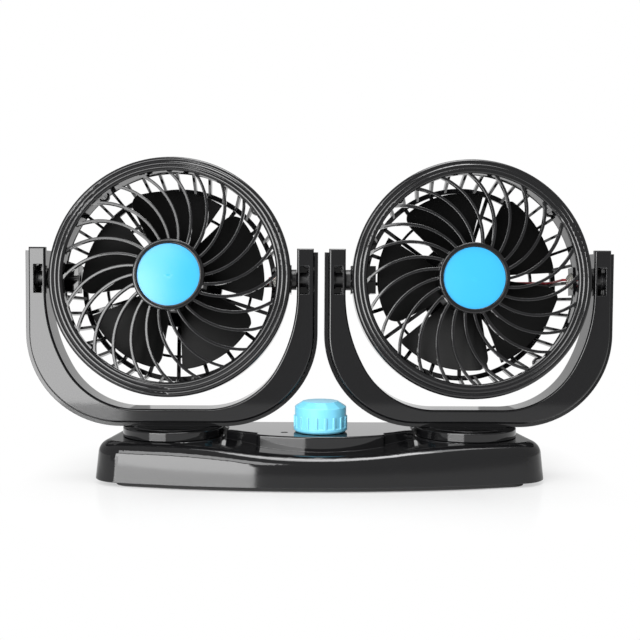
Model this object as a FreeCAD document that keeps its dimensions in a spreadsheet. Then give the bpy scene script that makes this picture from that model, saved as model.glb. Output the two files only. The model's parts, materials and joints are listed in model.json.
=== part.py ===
import FreeCAD, Part
import math
import os
import re
import Sketcher

# Twin-head dashboard fan. Millimetres, +Z up, +Y to the rear, +X to the viewer's right.
# The origin is the middle of the adhesive face under the base, between the two swivel axes.
# A head is drawn about its pivot centre with its air axis along Y, a yoke about the same centre,
# a swivel disc about its own axis on the table, and each is then set in place for both sides.

doc = FreeCAD.newDocument("car_fan")
sheet = doc.addObject("Spreadsheet::Sheet", "sizes")

# Sizes that are set, in millimetres and degrees.
SIZES = {
    # Layout
    "yoke_gap": 3, "left_tilt": 7, "left_blade_turn": 1, "right_blade_turn": -18, "right_tilt": 4.5,
    # Front grille
    "ring_radius": 54.4, "ring_face": 6.6, "ring_wall": 1.8, "ring_back": 10.6, "skirt_rear": 4,
    "ring_shoulder": 12.6, "bead_rise": 1.3, "bead_radius": 1.5, "bezel_width": 1.95, "hub_front": 19,
    "hub_floor": 2.6, "hub_round": 0.7, "spoke_count": 24, "spoke_radius": 32, "spoke_width": 1.3,
    "spoke_depth": 2.4, "spoke_reach": 32.8, "spoke_lean": 73.3, "spoke_root": 2.14, "spoke_tip": 1.9,
    "hub_stand": 1.1, "dome_radius": 264, "grille_boss_radius": 2, "spoke_margin": 6,
    "middle_bead_rise": 1.82,
    # Badge
    "badge_radius": 13.9, "badge_gap": 0.15, "badge_recess": 2, "badge_thickness": 1.2,
    "badge_crown": 0.6,
    # Rear basket
    "seam_gap": 0.2, "lap_gap": 0.2, "lap_length": 4.7, "rim_step": 0.4, "rim_wall": 3.6, "rim_rear": 5,
    "rim_chamfer": 0.9, "bar_count": 40, "bar_width": 1.3, "bar_depth": 2.4, "basket_draw": 8.1,
    "rear_ring_width": 2.4, "basket_rear": 25.5, "rear_chamfer": 0.8, "bar_bite": 0.2,
    "rear_thickness": 1.8, "middle_ring_radius": 35, "radial_bar_count": 20, "radial_bar_width": 1.8,
    "radial_bar_inset": 0.2, "radial_bar_end": 0.6, "cover_screw_margin": 2.5, "left_block_length": 11.6,
    "right_block_length": 6.3,
    "block_half_height": 6.4, "block_front": 3, "ear_radius": 2.5, "ear_thickness": 2.4,
    "fixing_inset": 4.4, "fixing_count": 4, "fixing_angle": 40.5, "fixing_notch_gap": 0.5,
    # Pivots
    "pivot_stand": 0.2, "shoulder_radius": 4.75, "journal_radius": 3.35, "tail_radius": 3,
    "tail_gap": 0.03, "lead_bore": 1.6, "collar_radius": 4.1, "journal_length": 4.5,
    "collar_width": 1.2, "side_gap": 0.2, "journal_gap": 0.1,
    # Motor
    "motor_radius": 12, "motor_front": 1, "motor_length": 25.7, "end_cap_thickness": 1.6,
    "end_cap_inset": 0.2, "end_boss_height": 0.8, "can_round": 1, "shaft_end_gap": 0.2,
    "bearing_radius": 3, "bearing_length": 1.5, "shaft_radius": 1, "shaft_gap": 0.1,
    "shaft_in_motor": 5, "sleeve_gap": 0.05, "sleeve_wall": 2, "rotor_gap": 1.2, "cover_room": 2.2,
    "cover_wall": 1.6, "cover_end_gap": 1, "cover_flange": 1.8, "cover_seat_gap": 0.05,
    "cover_screw_gap": 0.3, "cover_screw_count": 3, "cover_boss_radius": 2.4, "cover_boss_length": 3.5,
    # Leads and glue
    "lead_radius": 0.55, "lead_offset": 0.7, "lead_bend": 1.1, "lead_clearance": 1.2,
    "lead_under": 0.85, "lead_stand": 3.9, "lead_tail": 0.9, "lead_slot": 1.6, "glue_radius": 4,
    "glue_height": 2.6, "glue_slot": 1.5, "glue_gap": 0.3,
    # Impeller
    "tip_gap": 8.6, "blade_count": 5, "blade_thickness": 1.4, "rotor_motor_gap": 1.3,
    "rotor_hub_wall": 1.7, "rotor_front": 9.2, "rotor_rear": 8, "rotor_round": 2,
    "shaft_boss_radius": 3.5, "shaft_boss_length": 4, "shaft_front": 8, "blade_bury": 4.5,
    "root_left": 7.9, "root_right": 4.3, "root_front": 7.4, "root_rear": 5.4, "root_camber": 30,
    "blade_over": 1.2, "tip_left": 25, "tip_right": 25, "tip_front": 6.6, "tip_rear": 6.8,
    "tip_camber": 110, "tip_round": 6.3, "corner_drop": 12.3, "corner_tip_x": 16.1, "corner_over": 0.5,
    "trim_margin": 20,
    # Yoke
    "arm_width": 9.65, "shoulder_length": 2.3, "yoke_depth": 15, "cover_depth": 2.8, "lip_width": 2,
    "arm_top": 14.3, "lip_drop": 1.6, "yoke_foot": 8.2, "corner_width": 6, "arm_straight": 6,
    "bend_offset": 12.9, "upper_turn": 30, "corner_post_angle": 45, "head_clearance": 5.1,
    "yoke_wall": 1.7, "cover_edge": 0.9, "shell_edge": 1.6, "window_offset": 1.3, "window_width": 4.1,
    "window_half_height": 6.5, "tongue_depth": 1, "tongue_gap": 0.15, "post_radius": 2.6,
    "post_drop": 6.3, "post_front": 1, "cover_boss_radius_yoke": 2.2, "boss_gap": 0.2,
    "yoke_lead_radius": 1, "yoke_lead_gap": 0.5, "yoke_lead_top": 6, "foot_block_half": 3,
    "foot_block_front": 2.2,
    # Swivel
    "disc_step": 5.1, "disc_thickness": 3.9, "disc_gap": 0.3, "disc_round": 0.5, "boss_margin": 5.5,
    "boss_height": 0.2, "spigot_radius": 9, "spigot_gap": 0.2, "washer_room": 1.8, "swivel_bore": 4.5,
    "washer_width": 4.5, "washer_gap": 0.05, "retainer_thickness": 1.6, "stop_length": 3.5,
    "stop_half_width": 1.2, "retainer_screw_count": 3, "foot_screw_room": 3.5, "foot_screw_length": 6,
    # Base
    "base_end": 34.4, "base_draft": 5.5, "base_taper": 5, "front_reach": 14.8, "rear_margin": 1.8,
    "base_bow": 14.7, "base_bottom": 1.5, "seat_height": 18.6, "saddle_drop": 3.9, "saddle_reach": 1.75,
    "front_corner": 15, "rear_corner": 14, "base_edge": 6, "base_wall": 2.2, "base_roof": 3.2,
    "well_gap": 4, "roof_thickness": 2.6, "seat_margin": 1.1, "deck_rise": 2.8, "bump_half": 29,
    "bump_corner": 18, "bump_margin": 4.5, "bump_back": 13.5, "deck_gap": 2.4, "deck_front": 5,
    "deck_side": 17, "deck_edge": 0.8, "bump_round": 3, "plate_gap": 0.2, "post_gap": 0.1,
    "plate_thickness": 2, "post_size": 3.2, "post_wall": 0.55, "post_inset": 10.25,
    "front_post_inset": 17, "rear_post_inset": 9, "pad_end_gap": 11.8, "pad_front_gap": 1.2,
    "pad_rear_gap": 5, "pad_corner": 8,
    # Switch and knob
    "knob_setback": 8, "switch_width": 20, "switch_depth": 18, "switch_height": 8,
    "switch_pocket_gap": 1.5, "switch_roof": 3, "bush_radius": 4.5, "bush_gap": 0.1, "bush_height": 2.4,
    "nut_wall": 2, "nut_height": 1.8, "nut_sides": 6, "switch_shaft_radius": 3,
    "switch_shaft_gap": 0.05, "switch_shaft_depth": 5, "shaft_chamfer": 0.5, "knob_gap": 0.3,
    "knob_height": 13.7, "knob_lip_reach": 0.5, "knob_radius": 11.75, "knob_lip": 1.9,
    "knob_lip_chamfer": 0.8, "knob_top_radius": 8.4, "knob_chamfer": 2.2, "knob_lip_fall": 0.4,
    "rib_root": 0.6, "nut_room": 2.7, "bush_room": 0.8, "knob_shaft_depth": 6.8, "rib_count": 18,
    "rib_width": 1.1, "rib_bottom": 1, "rib_top": 7.2, "facet_count": 12, "facet_depth": 0.6,
    "indicator_offset": 16.5, "indicator_setback": 12, "indicator_radius": 1.6, "indicator_gap": 0.05,
    "indicator_length": 9, "indicator_shoulder": 0.4, "indicator_recess": 0.2,
    # Gland and base leads
    "gland_wall": 1.2, "gland_gap": 0.05, "gland_bore": 2.2, "gland_floor_gap": 0.1,
    "gland_flange_reach": 1, "gland_flange_width": 2.1, "gland_seat_depth": 0.9, "gland_inside": 2,
    "base_lead_radius": 1.3, "base_lead_bend": 3, "base_lead_reach": 1.1, "base_lead_gap": 0.05,
    # Overlaps of joined shapes and overshoot of cuts
    "fuse_overlap": 0.5, "cut_margin": 1,
    # Screws
    "screw_head_radius": 2, "screw_head_height": 1.4, "screw_radius": 1, "screw_hole_gap": 0.1,
    "screw_seat_gap": 0.2, "recess_half_length": 1.2, "recess_half_width": 0.3, "recess_depth": 0.7,
    "grille_screw_length": 7, "yoke_screw_length": 8, "cover_screw_length": 4.6,
    "retainer_screw_length": 5, "base_screw_length": 7,
}

# Sizes that follow from the ones that are set.
FOLLOWS = {
    # Layout
    "swivel_spacing": "2*yoke_half_width + yoke_gap",
    "pivot_height": "seat_height + disc_gap + disc_thickness + boss_height + yoke_bottom",
    # Front grille
    "ring_inner_radius": "ring_radius - ring_face",
    "hub_radius": "badge_radius + badge_gap + bezel_width",
    "hub_back": "badge_seat - hub_floor",
    "spoke_centre_x": "spoke_reach*cos(spoke_lean)",
    "spoke_centre_z": "spoke_reach*sin(spoke_lean)",
    "spoke_start": "acos(((hub_radius - spoke_root)^2 - spoke_reach^2 - "
                   "spoke_radius^2)/(2*spoke_radius*spoke_reach)) - spoke_lean*1deg",
    "spoke_end": "acos(((ring_inner_radius + spoke_tip)^2 - spoke_reach^2 - "
                 "spoke_radius^2)/(2*spoke_radius*spoke_reach)) - spoke_lean*1deg",
    "dome_front": "hub_front - hub_stand",
    # Badge
    "badge_seat": "hub_front - badge_recess",
    # Rear basket
    "rim_radius": "ring_radius - rim_step",
    "rim_inner_radius": "rim_radius - rim_wall",
    "rear_ring_radius": "rim_radius - basket_draw",
    "radial_bar_reach": "rear_ring_radius - radial_bar_end",
    "motor_plate_radius": "cover_screw_circle + cover_screw_margin",
    "left_block_inner": "pivot_face - left_block_length",
    "right_block_inner": "pivot_face - right_block_length",
    "fixing_circle": "ring_radius - fixing_inset",
    # Pivots
    "pivot_face": "ring_radius + pivot_stand",
    "collar_start": "yoke_inner_half + journal_length",
    # Motor
    "sleeve_front": "rotor_rear + rotor_gap",
    "cover_radius": "motor_radius + cover_room + cover_wall",
    "cover_rear": "motor_front + motor_length + end_cap_thickness + end_boss_height + "
                  "cover_end_gap + cover_wall",
    "cover_screw_circle": "cover_radius + screw_head_radius + cover_screw_gap",
    # Leads and glue
    "lead_drop": "motor_radius + lead_clearance",
    "lead_run": "basket_rear - rear_thickness - lead_under - lead_radius",
    "lead_turn": "right_block_inner - lead_stand",
    "lead_end": "yoke_inner_half + lead_tail",
    # Impeller
    "tip_radius": "rim_inner_radius - tip_gap",
    "rotor_hub_radius": "motor_radius + rotor_motor_gap + rotor_hub_wall",
    "root_plane": "rotor_hub_radius - blade_bury",
    "tip_plane": "tip_radius + blade_over",
    "corner_edge_x": "root_left + (tip_left - root_left)*(corner_edge_z - "
                     "root_plane)/(tip_plane - root_plane)",
    "corner_edge_z": "tip_plane - corner_drop",
    "corner_tip_z": "sqrt((tip_radius + corner_over)^2 - corner_tip_x^2)",
    # Yoke
    "yoke_half_width": "yoke_inner_half + arm_width",
    "yoke_inner_half": "pivot_face + shoulder_length + side_gap",
    "yoke_bottom": "ring_radius + head_clearance + yoke_foot",
    "outer_corner": "lower_bend + corner_width",
    "upper_bend": "yoke_inner_half + bend_offset",
    "lower_bend": "(ring_radius + head_clearance - arm_straight - "
                  "upper_bend*sin(upper_turn))/(1 - sin(upper_turn))",
    "post_height": "arm_top - post_drop",
    # Swivel
    "disc_radius": "boss_radius + disc_step",
    "boss_radius": "foot_screw_offset + boss_margin",
    "spigot_length": "disc_gap + roof_thickness + washer_room",
    "washer_radius": "spigot_radius + washer_width",
    "stop_reach": "washer_radius + stop_length",
    "retainer_screw_circle": "(swivel_bore + spigot_radius)/2",
    "foot_screw_offset": "spigot_radius + foot_screw_room",
    # Base
    "base_half_length": "swivel_spacing/2 + base_end",
    "base_rear_half": "base_half_length - base_draft",
    "base_front": "seat_radius + front_reach",
    "base_rear": "seat_radius + rear_margin",
    "base_front_radius": "(base_half_length^2 + base_bow^2)/(2*base_bow)",
    "saddle_half": "swivel_spacing/2 + saddle_reach",
    "cavity_top": "seat_height - saddle_drop - base_roof",
    "well_radius": "stop_reach + well_gap",
    "seat_radius": "disc_radius + seat_margin",
    "deck_height": "seat_height + deck_rise",
    "deck_root": "cavity_top + fuse_overlap",
    "bump_front": "knob_setback + knob_skirt_radius + bump_margin",
    "deck_rear": "base_rear - base_edge",
    "end_post": "swivel_spacing/2 + well_radius + post_size + post_wall",
    "middle_post": "swivel_spacing/2 - well_radius - post_inset",
    "front_post": "base_front - front_post_inset",
    "rear_post": "base_rear - rear_post_inset",
    "pad_half_length": "base_half_length - pad_end_gap",
    "pad_bow": "base_front_radius - pad_front_gap",
    "pad_front": "base_front_radius - base_front - sqrt(pad_bow^2 - pad_half_length^2)",
    "pad_rear": "base_rear - pad_rear_gap",
    # Switch and knob
    "nut_radius": "bush_radius + nut_wall",
    "knob_skirt_radius": "knob_radius + knob_lip_reach",
    "knob_cavity_radius": "nut_radius + nut_room",
    "knob_cavity_height": "bush_height + bush_room",
    # Gland and base leads
    "gland_radius": "gland_bore + gland_wall",
    "gland_height": "base_bottom + plate_thickness + gland_radius + gland_floor_gap",
    "gland_flange": "gland_radius + gland_flange_reach",
    "base_lead_top": "seat_height + disc_gap + base_lead_reach",
}

for row, (name, number) in enumerate(SIZES.items(), 1):
    sheet.set(f"A{row}", name)
    sheet.set(f"B{row}", str(number))
    sheet.setAlias(f"B{row}", name)
doc.recompute()

# Faces and places that several pieces share.
SKIRT_INNER = "(ring_radius - ring_wall)"
BEAD_PITCH = "((ring_radius - ring_inner_radius)/3)"
LAP_RADIUS = "(ring_radius - ring_wall - lap_gap)"
RIM_FRONT = "(skirt_rear - seam_gap)"
REAR_FACE = "(basket_rear - rear_thickness)"
SLEEVE_INNER = "(motor_radius + sleeve_gap)"
SLEEVE_OUTER = "(motor_radius + sleeve_gap + sleeve_wall)"
COVER_SEAT = "(basket_rear + cover_seat_gap)"
MOTOR_BACK = "(motor_front + motor_length)"
SHOULDER_END = "(yoke_inner_half - side_gap)"
YOKE_HALF_DEPTH = "(yoke_depth/2)"
SEAM = "(yoke_depth/2 - cover_depth)"
LIP_TOP = "(arm_top - lip_drop)"
BEND_STEP = "(upper_bend - lower_bend)"
FLAT_HALF = f"(yoke_inner_half - upper_bend + {BEND_STEP}*cos(upper_turn))"
LOWER_CENTRE = f"(arm_straight + {BEND_STEP}*sin(upper_turn))"
INNER_BOTTOM = "(ring_radius + head_clearance)"
YOKE_FLOOR = "(pivot_height - yoke_bottom)"
DISC_TOP = "(seat_height + disc_gap + disc_thickness)"
DISC_BOTTOM = "(seat_height + disc_gap)"
SPIGOT_END = f"({DISC_BOTTOM} - spigot_length)"
ROOF_UNDER = "(seat_height - roof_thickness)"
SWIVEL_X = "(swivel_spacing/2)"
KNOB_FLOOR = "(deck_height + knob_gap)"
KNOB_TOP = "(deck_height + knob_gap + knob_height)"
SWITCH_TOP = "(deck_height - switch_roof)"
PLATE_TOP = "(base_bottom + plate_thickness)"
GLAND_SEAT = "(base_rear - gland_seat_depth)"
SCREW_HOLE = "(screw_radius + screw_hole_gap)"
POST_X = "((yoke_inner_half + yoke_half_width)/2)"
CORNER_X = f"((yoke_half_width - outer_corner + {FLAT_HALF})/2" \
           " + (outer_corner + lower_bend)/2*cos(corner_post_angle))"
CORNER_Z = f"((yoke_bottom - outer_corner + {LOWER_CENTRE})/2" \
           " + (outer_corner + lower_bend)/2*sin(corner_post_angle))"
FIXING = [("fixing_circle*cos(fixing_angle)", "fixing_circle*sin(fixing_angle)")]


def bound(text):
    """The expression with the sizes that follow written out and each set size pointing at its cell."""
    def written(match):
        word = match.group(0)
        if word in FOLLOWS:
            return "(" + bound(FOLLOWS[word]) + ")"
        return "sizes." + word if word in SIZES else word
    return re.sub(r"[a-z_]+", written, text)


def size(text):
    """The number that an expression of sizes gives."""
    result = sheet.evalExpression(bound(text))
    return float(getattr(result, "Value", result))


def new_body(name):
    return doc.addObject("PartDesign::Body", name)


def origin_part(body, role):
    return [item for item in body.Origin.OriginFeatures if item.Role == role][0]


def new_sketch(body, role, name, lift="0"):
    """An empty sketch on one of the body's origin planes, lifted along its normal."""
    drawing = body.newObject("Sketcher::SketchObject", name)
    drawing.AttachmentSupport = (origin_part(body, role), [""])
    drawing.MapMode = "FlatFace"
    if lift != "0":
        drawing.setExpression("AttachmentOffset.Base.z", bound(lift))
    return drawing


def arc_between(first, last, radius, side):
    """The short arc from first to last; side 1 turns left along the way, side -1 turns right."""
    middle = (first + last)*0.5
    along = last - first
    half = along.Length/2
    left = FreeCAD.Vector(-along.y, along.x, 0).normalize()
    centre = middle + left*side*math.sqrt(radius**2 - half**2)
    crown = centre - left*side*radius
    return Part.Arc(first, crown, last)


def outline(drawing, corners):
    """A closed loop of lines and arcs; a corner may carry (radius, side) for the arc that leaves it."""
    points = [FreeCAD.Vector(size(x), size(y), 0) for x, y, *arc in corners]
    first = drawing.GeometryCount
    starts = []
    ends = []
    for begin, finish, (x, y, *arc) in zip(points, points[1:] + points[:1], corners):
        if arc:
            radius, side = arc
            drawing.addGeometry(arc_between(begin, finish, size(radius), side))
        else:
            side = 1
            drawing.addGeometry(Part.LineSegment(begin, finish))
        starts.append(1 if side > 0 else 2)
        ends.append(2 if side > 0 else 1)
    for i in range(len(corners)):
        follower = (i + 1) % len(corners)
        drawing.addConstraint(Sketcher.Constraint("Coincident", first + i, ends[i],
                                                  first + follower, starts[follower]))
    for i, (x, y, *arc) in enumerate(corners):
        for kind, axis, text, number in (("DistanceX", -2, x, points[i].x),
                                         ("DistanceY", -1, y, points[i].y)):
            if text == "0":
                drawing.addConstraint(Sketcher.Constraint("PointOnObject", first + i, starts[i], axis))
                continue
            at = drawing.addConstraint(Sketcher.Constraint(kind, -1, 1, first + i, starts[i], number))
            drawing.setExpression(f"Constraints[{at}]", bound(text))
        if arc:
            radius, side = arc
            at = drawing.addConstraint(Sketcher.Constraint("Radius", first + i, size(radius)))
            drawing.setExpression(f"Constraints[{at}]", bound(radius))


def circles(drawing, places, radius):
    """Circles of one radius about the places."""
    for x, y in places:
        at = drawing.addGeometry(Part.Circle(FreeCAD.Vector(size(x), size(y), 0),
                                             FreeCAD.Vector(0, 0, 1), size(radius)))
        item = drawing.addConstraint(Sketcher.Constraint("Radius", at, size(radius)))
        drawing.setExpression(f"Constraints[{item}]", bound(radius))
        for kind, axis, text in (("DistanceX", -2, x), ("DistanceY", -1, y)):
            if text == "0":
                drawing.addConstraint(Sketcher.Constraint("PointOnObject", at, 3, axis))
                continue
            item = drawing.addConstraint(Sketcher.Constraint(kind, -1, 1, at, 3, size(text)))
            drawing.setExpression(f"Constraints[{item}]", bound(text))


def box_corners(low_x, low_y, high_x, high_y):
    return [(low_x, low_y), (high_x, low_y), (high_x, high_y), (low_x, high_y)]


def settle(body, feature):
    """Makes the feature the body's last one and stops where it fails."""
    body.Tip = feature
    doc.recompute()
    if "Invalid" in feature.State:
        raise RuntimeError(f"{feature.Name}: {feature.getStatusString()}")
    return feature


def turned(body, name, corners, role="XY_Plane", cut=False):
    """A profile turned about the sketch's upright axis, added or cut away."""
    drawing = new_sketch(body, role, name + "_profile")
    outline(drawing, corners)
    kind = "PartDesign::Groove" if cut else "PartDesign::Revolution"
    feature = body.newObject(kind, name)
    feature.Profile = drawing
    feature.ReferenceAxis = (drawing, ["V_Axis"])
    feature.Angle = 360
    return settle(body, feature)


def raised(body, name, drawing, length, middle=False, back=False):
    feature = body.newObject("PartDesign::Pad", name)
    feature.Profile = drawing
    feature.setExpression("Length", bound(length))
    feature.Midplane = middle
    feature.Reversed = back
    return settle(body, feature)


def sunk(body, name, drawing, length, middle=False, back=False):
    """A pocket, which has to take something away."""
    before = body.Shape.Volume
    feature = body.newObject("PartDesign::Pocket", name)
    feature.Profile = drawing
    feature.setExpression("Length", bound(length))
    feature.Midplane = middle
    feature.Reversed = back
    settle(body, feature)
    if body.Shape.Volume > before - 1e-6:
        raise RuntimeError(name + " cuts nothing")
    return feature


def repeated(body, name, features, role, count):
    pattern = body.newObject("PartDesign::PolarPattern", name)
    pattern.Originals = features
    pattern.Axis = (origin_part(body, role), [""])
    pattern.Angle = 360
    pattern.setExpression("Occurrences", bound(count))
    return settle(body, pattern)


def rounded(body, name, radius, chosen):
    """A fillet on the edges of the body that the test picks."""
    base = body.Tip
    names = [f"Edge{i}" for i, edge in enumerate(base.Shape.Edges, 1) if chosen(edge)]
    if not names:
        raise RuntimeError(name + " finds no edge")
    feature = body.newObject("PartDesign::Fillet", name)
    feature.Base = (base, names)
    feature.setExpression("Radius", bound(radius))
    return settle(body, feature)


def lies_at(edge, axis, number):
    """True where the whole edge lies at one level along an axis."""
    low = getattr(edge.BoundBox, axis + "Min")
    high = getattr(edge.BoundBox, axis + "Max")
    return abs(low - number) < 0.02 and abs(high - number) < 0.02


def runs_along(edge, axis):
    """True for a straight edge along an axis."""
    box = edge.BoundBox
    reach = {"X": box.XLength, "Y": box.YLength, "Z": box.ZLength}
    return reach.pop(axis) > 0.5 and max(reach.values()) < 0.01


# Front grille: hub, curved spokes on a shallow dome, then the bezel and the ridged ring.
def front_grille():
    body = new_body("grille_master")
    turned(body, "hub", [("0", "-badge_seat"), ("hub_radius - hub_round", "-badge_seat"),
                         ("hub_radius - hub_round", "-hub_back"), ("0", "-hub_back")])
    drawing = new_sketch(body, "XZ_Plane", "spoke_plan", "hub_back - spoke_margin")
    corners = []
    for reach, angle, arc in (("+", "spoke_start", ()), ("-", "spoke_start", ("-",)),
                              ("-", "spoke_end", ()), ("+", "spoke_end", ("+",))):
        radius = f"(spoke_radius {reach} spoke_width/2)"
        corner = (f"spoke_centre_x + {radius}*cos({angle})", f"spoke_centre_z - {radius}*sin({angle})")
        if arc:
            corner += (radius, 1 if arc[0] == "-" else -1)
        corners.append(corner)
    outline(drawing, corners)
    spoke = raised(body, "spoke", drawing, "dome_front - hub_back + spoke_margin")
    repeated(body, "spokes", [spoke], "Y_Axis", "spoke_count")
    edge = "(ring_radius - ring_wall)"
    sag = f"(dome_radius - sqrt(dome_radius^2 - {edge}^2))"
    turned(body, "dome_face", [("0", "-dome_front", "dome_radius", 1), (edge, f"{sag} - dome_front"),
                               (edge, "-hub_front - spoke_margin"),
                               ("0", "-hub_front - spoke_margin")], cut=True)
    turned(body, "dome_back", [("0", "spoke_depth - dome_front", "dome_radius", 1),
                               (edge, f"{sag} + spoke_depth - dome_front"),
                               (edge, "0"), ("0", "0")], cut=True)
    inner = "(badge_radius + badge_gap)"
    turned(body, "bezel", [(inner, "-hub_back"), ("hub_radius", "-hub_back"),
                           ("hub_radius", "hub_round - hub_front", "hub_round", -1),
                           ("hub_radius - hub_round", "-hub_front"), (inner, "-hub_front")])
    turned(body, "seat", [("0", "-badge_seat"), ("hub_radius - hub_round", "-badge_seat"),
                          ("hub_radius - hub_round", "-hub_back"), ("0", "-hub_back")])
    turned(body, "recess", box_corners("0", "-hub_front - cut_margin", inner, "-badge_seat"), cut=True)
    first = f"(ring_radius - {BEAD_PITCH})"
    second = f"(ring_radius - 2*{BEAD_PITCH})"
    turned(body, "ring", [("ring_radius", "-skirt_rear"),
                          ("ring_radius", "-ring_shoulder", "bead_radius", -1),
                          (first, "-ring_shoulder - bead_rise", "bead_radius", -1),
                          (second, "-ring_shoulder - middle_bead_rise", "bead_radius", -1),
                          ("ring_inner_radius", "-ring_shoulder - bead_rise"),
                          ("ring_inner_radius", "-ring_back"),
                          (f"ring_inner_radius + {BEAD_PITCH}", "-ring_back"),
                          (SKIRT_INNER, "-ring_back - bead_rise/2"), (SKIRT_INNER, "-skirt_rear")])
    drawing = new_sketch(body, "XZ_Plane", "boss_plan", "ear_thickness")
    circles(drawing, FIXING, "grille_boss_radius")
    boss = raised(body, "boss", drawing, "ring_back + bead_rise/2 - ear_thickness")
    drawing = new_sketch(body, "XZ_Plane", "boss_hole_plan", "ear_thickness")
    circles(drawing, FIXING, SCREW_HOLE)
    hole = sunk(body, "boss_hole", drawing, "grille_screw_length - ear_thickness + fuse_overlap", back=True)
    repeated(body, "bosses", [boss, hole], "Y_Axis", "fixing_count")
    return body


def badge():
    body = new_body("badge_master")
    face = "(badge_seat + badge_thickness)"
    bow = "((badge_radius^2 + badge_crown^2)/(2*badge_crown))"
    turned(body, "badge", [("0", "-badge_seat"), ("0", f"-{face} - badge_crown", bow, 1),
                           ("badge_radius", f"-{face}"), ("badge_radius", "-badge_seat")])
    return body


# Rear basket: rim with a lap into the ring, side bars, rear rings, radial bars, motor sleeve, pivot blocks.
def rear_basket():
    body = new_body("basket_master")
    half_ring = "rear_ring_width/2"
    turned(body, "rear_ring", [(f"rear_ring_radius - {half_ring}", REAR_FACE),
                               (f"rear_ring_radius + {half_ring}", REAR_FACE),
                               (f"rear_ring_radius + {half_ring}", "basket_rear - rear_chamfer"),
                               (f"rear_ring_radius + {half_ring} - rear_chamfer", "basket_rear"),
                               (f"rear_ring_radius - {half_ring}", "basket_rear")])
    turned(body, "motor_plate", box_corners(SLEEVE_INNER, REAR_FACE, "motor_plate_radius", "basket_rear"))
    turned(body, "sleeve", box_corners(SLEEVE_INNER, "sleeve_front", SLEEVE_OUTER, REAR_FACE))
    drawing = new_sketch(body, "XZ_Plane", "radial_bar_plan", f"-{REAR_FACE} - radial_bar_inset")
    outline(drawing, box_corners("motor_plate_radius - fuse_overlap", "-radial_bar_width/2",
                                 "radial_bar_reach", "radial_bar_width/2"))
    bar = raised(body, "radial_bar", drawing, "rear_thickness - 2*radial_bar_inset", back=True)
    repeated(body, "radial_bars", [bar], "Y_Axis", "radial_bar_count")
    turned(body, "middle_ring", box_corners("middle_ring_radius - bar_width/2", REAR_FACE,
                                            "middle_ring_radius + bar_width/2", "basket_rear"))
    turned(body, "rim", [("rim_inner_radius", f"-{RIM_FRONT} - lap_length"),
                         (LAP_RADIUS, f"-{RIM_FRONT} - lap_length"), (LAP_RADIUS, f"-{RIM_FRONT}"),
                         ("rim_radius", f"-{RIM_FRONT}"), ("rim_radius", "rim_rear - 2*rim_chamfer"),
                         ("rim_radius - rim_chamfer", "rim_rear"), ("rim_inner_radius", "rim_rear")])
    drawing = new_sketch(body, "XY_Plane", "side_bar_plan")
    outline(drawing, [("rim_inner_radius + bar_bite", "rim_rear - bar_depth/2"),
                      ("rim_inner_radius + bar_bite + bar_depth", "rim_rear - bar_depth/2"),
                      (f"rear_ring_radius + {half_ring} - bar_bite", f"{REAR_FACE} + rear_thickness/3"),
                      (f"rear_ring_radius + bar_bite - {half_ring}", f"{REAR_FACE} + rear_thickness/3")])
    bar = raised(body, "side_bar", drawing, "bar_width", middle=True)
    repeated(body, "side_bars", [bar], "Y_Axis", "bar_count")
    drawing = new_sketch(body, "XZ_Plane", "cover_boss_plan", f"-{REAR_FACE}")
    circles(drawing, [("0", "cover_screw_circle")], "cover_boss_radius")
    boss = raised(body, "cover_boss", drawing, "cover_boss_length")
    drawing = new_sketch(body, "XZ_Plane", "cover_hole_plan", "-basket_rear")
    circles(drawing, [("0", "cover_screw_circle")], SCREW_HOLE)
    hole = sunk(body, "cover_hole", drawing, "rear_thickness + cover_boss_length", back=True)
    repeated(body, "cover_bosses", [boss, hole], "Y_Axis", "cover_screw_count")
    drawing = new_sketch(body, "XY_Plane", "lead_slot_plan")
    outline(drawing, box_corners("0", "lead_run - lead_slot", f"{SLEEVE_OUTER} + bar_bite",
                                 "basket_rear + cut_margin"))
    sunk(body, "lead_slot", drawing, "2*lead_slot", middle=True)
    drawing = new_sketch(body, "XZ_Plane", "ear_plan")
    circles(drawing, FIXING, "ear_radius")
    ear = raised(body, "ear", drawing, "ear_thickness - seam_gap")
    drawing = new_sketch(body, "XZ_Plane", "ear_hole_plan")
    circles(drawing, FIXING, SCREW_HOLE)
    hole = sunk(body, "ear_hole", drawing, "ear_thickness", back=True)
    drawing = new_sketch(body, "XZ_Plane", "head_room_plan")
    circles(drawing, FIXING, "screw_head_radius + screw_seat_gap")
    room = sunk(body, "head_room", drawing, "rim_rear + cut_margin")
    drawing = new_sketch(body, "XZ_Plane", "boss_notch_plan", "ear_thickness - seam_gap")
    circles(drawing, FIXING, "grille_boss_radius + fixing_notch_gap")
    depth = f"{RIM_FRONT} + lap_length - ear_thickness + cut_margin"
    notch = sunk(body, "boss_notch", drawing, depth, back=True)
    repeated(body, "ears", [ear, hole, room, notch], "Y_Axis", "fixing_count")
    for name, sign in (("right", ""), ("left", "-")):
        drawing = new_sketch(body, "YZ_Plane", name + "_block_plan", f"{sign}{name}_block_inner")
        outline(drawing, box_corners("-block_front", "-block_half_height", "rim_rear", "block_half_height"))
        raised(body, name + "_block", drawing, f"{name}_block_length", back=sign == "-")
    drawing = new_sketch(body, "YZ_Plane", "tail_hole_plan")
    circles(drawing, [("0", "0")], "tail_radius + tail_gap")
    sunk(body, "tail_hole", drawing, "2*(pivot_face + cut_margin)", middle=True)
    return body


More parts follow.
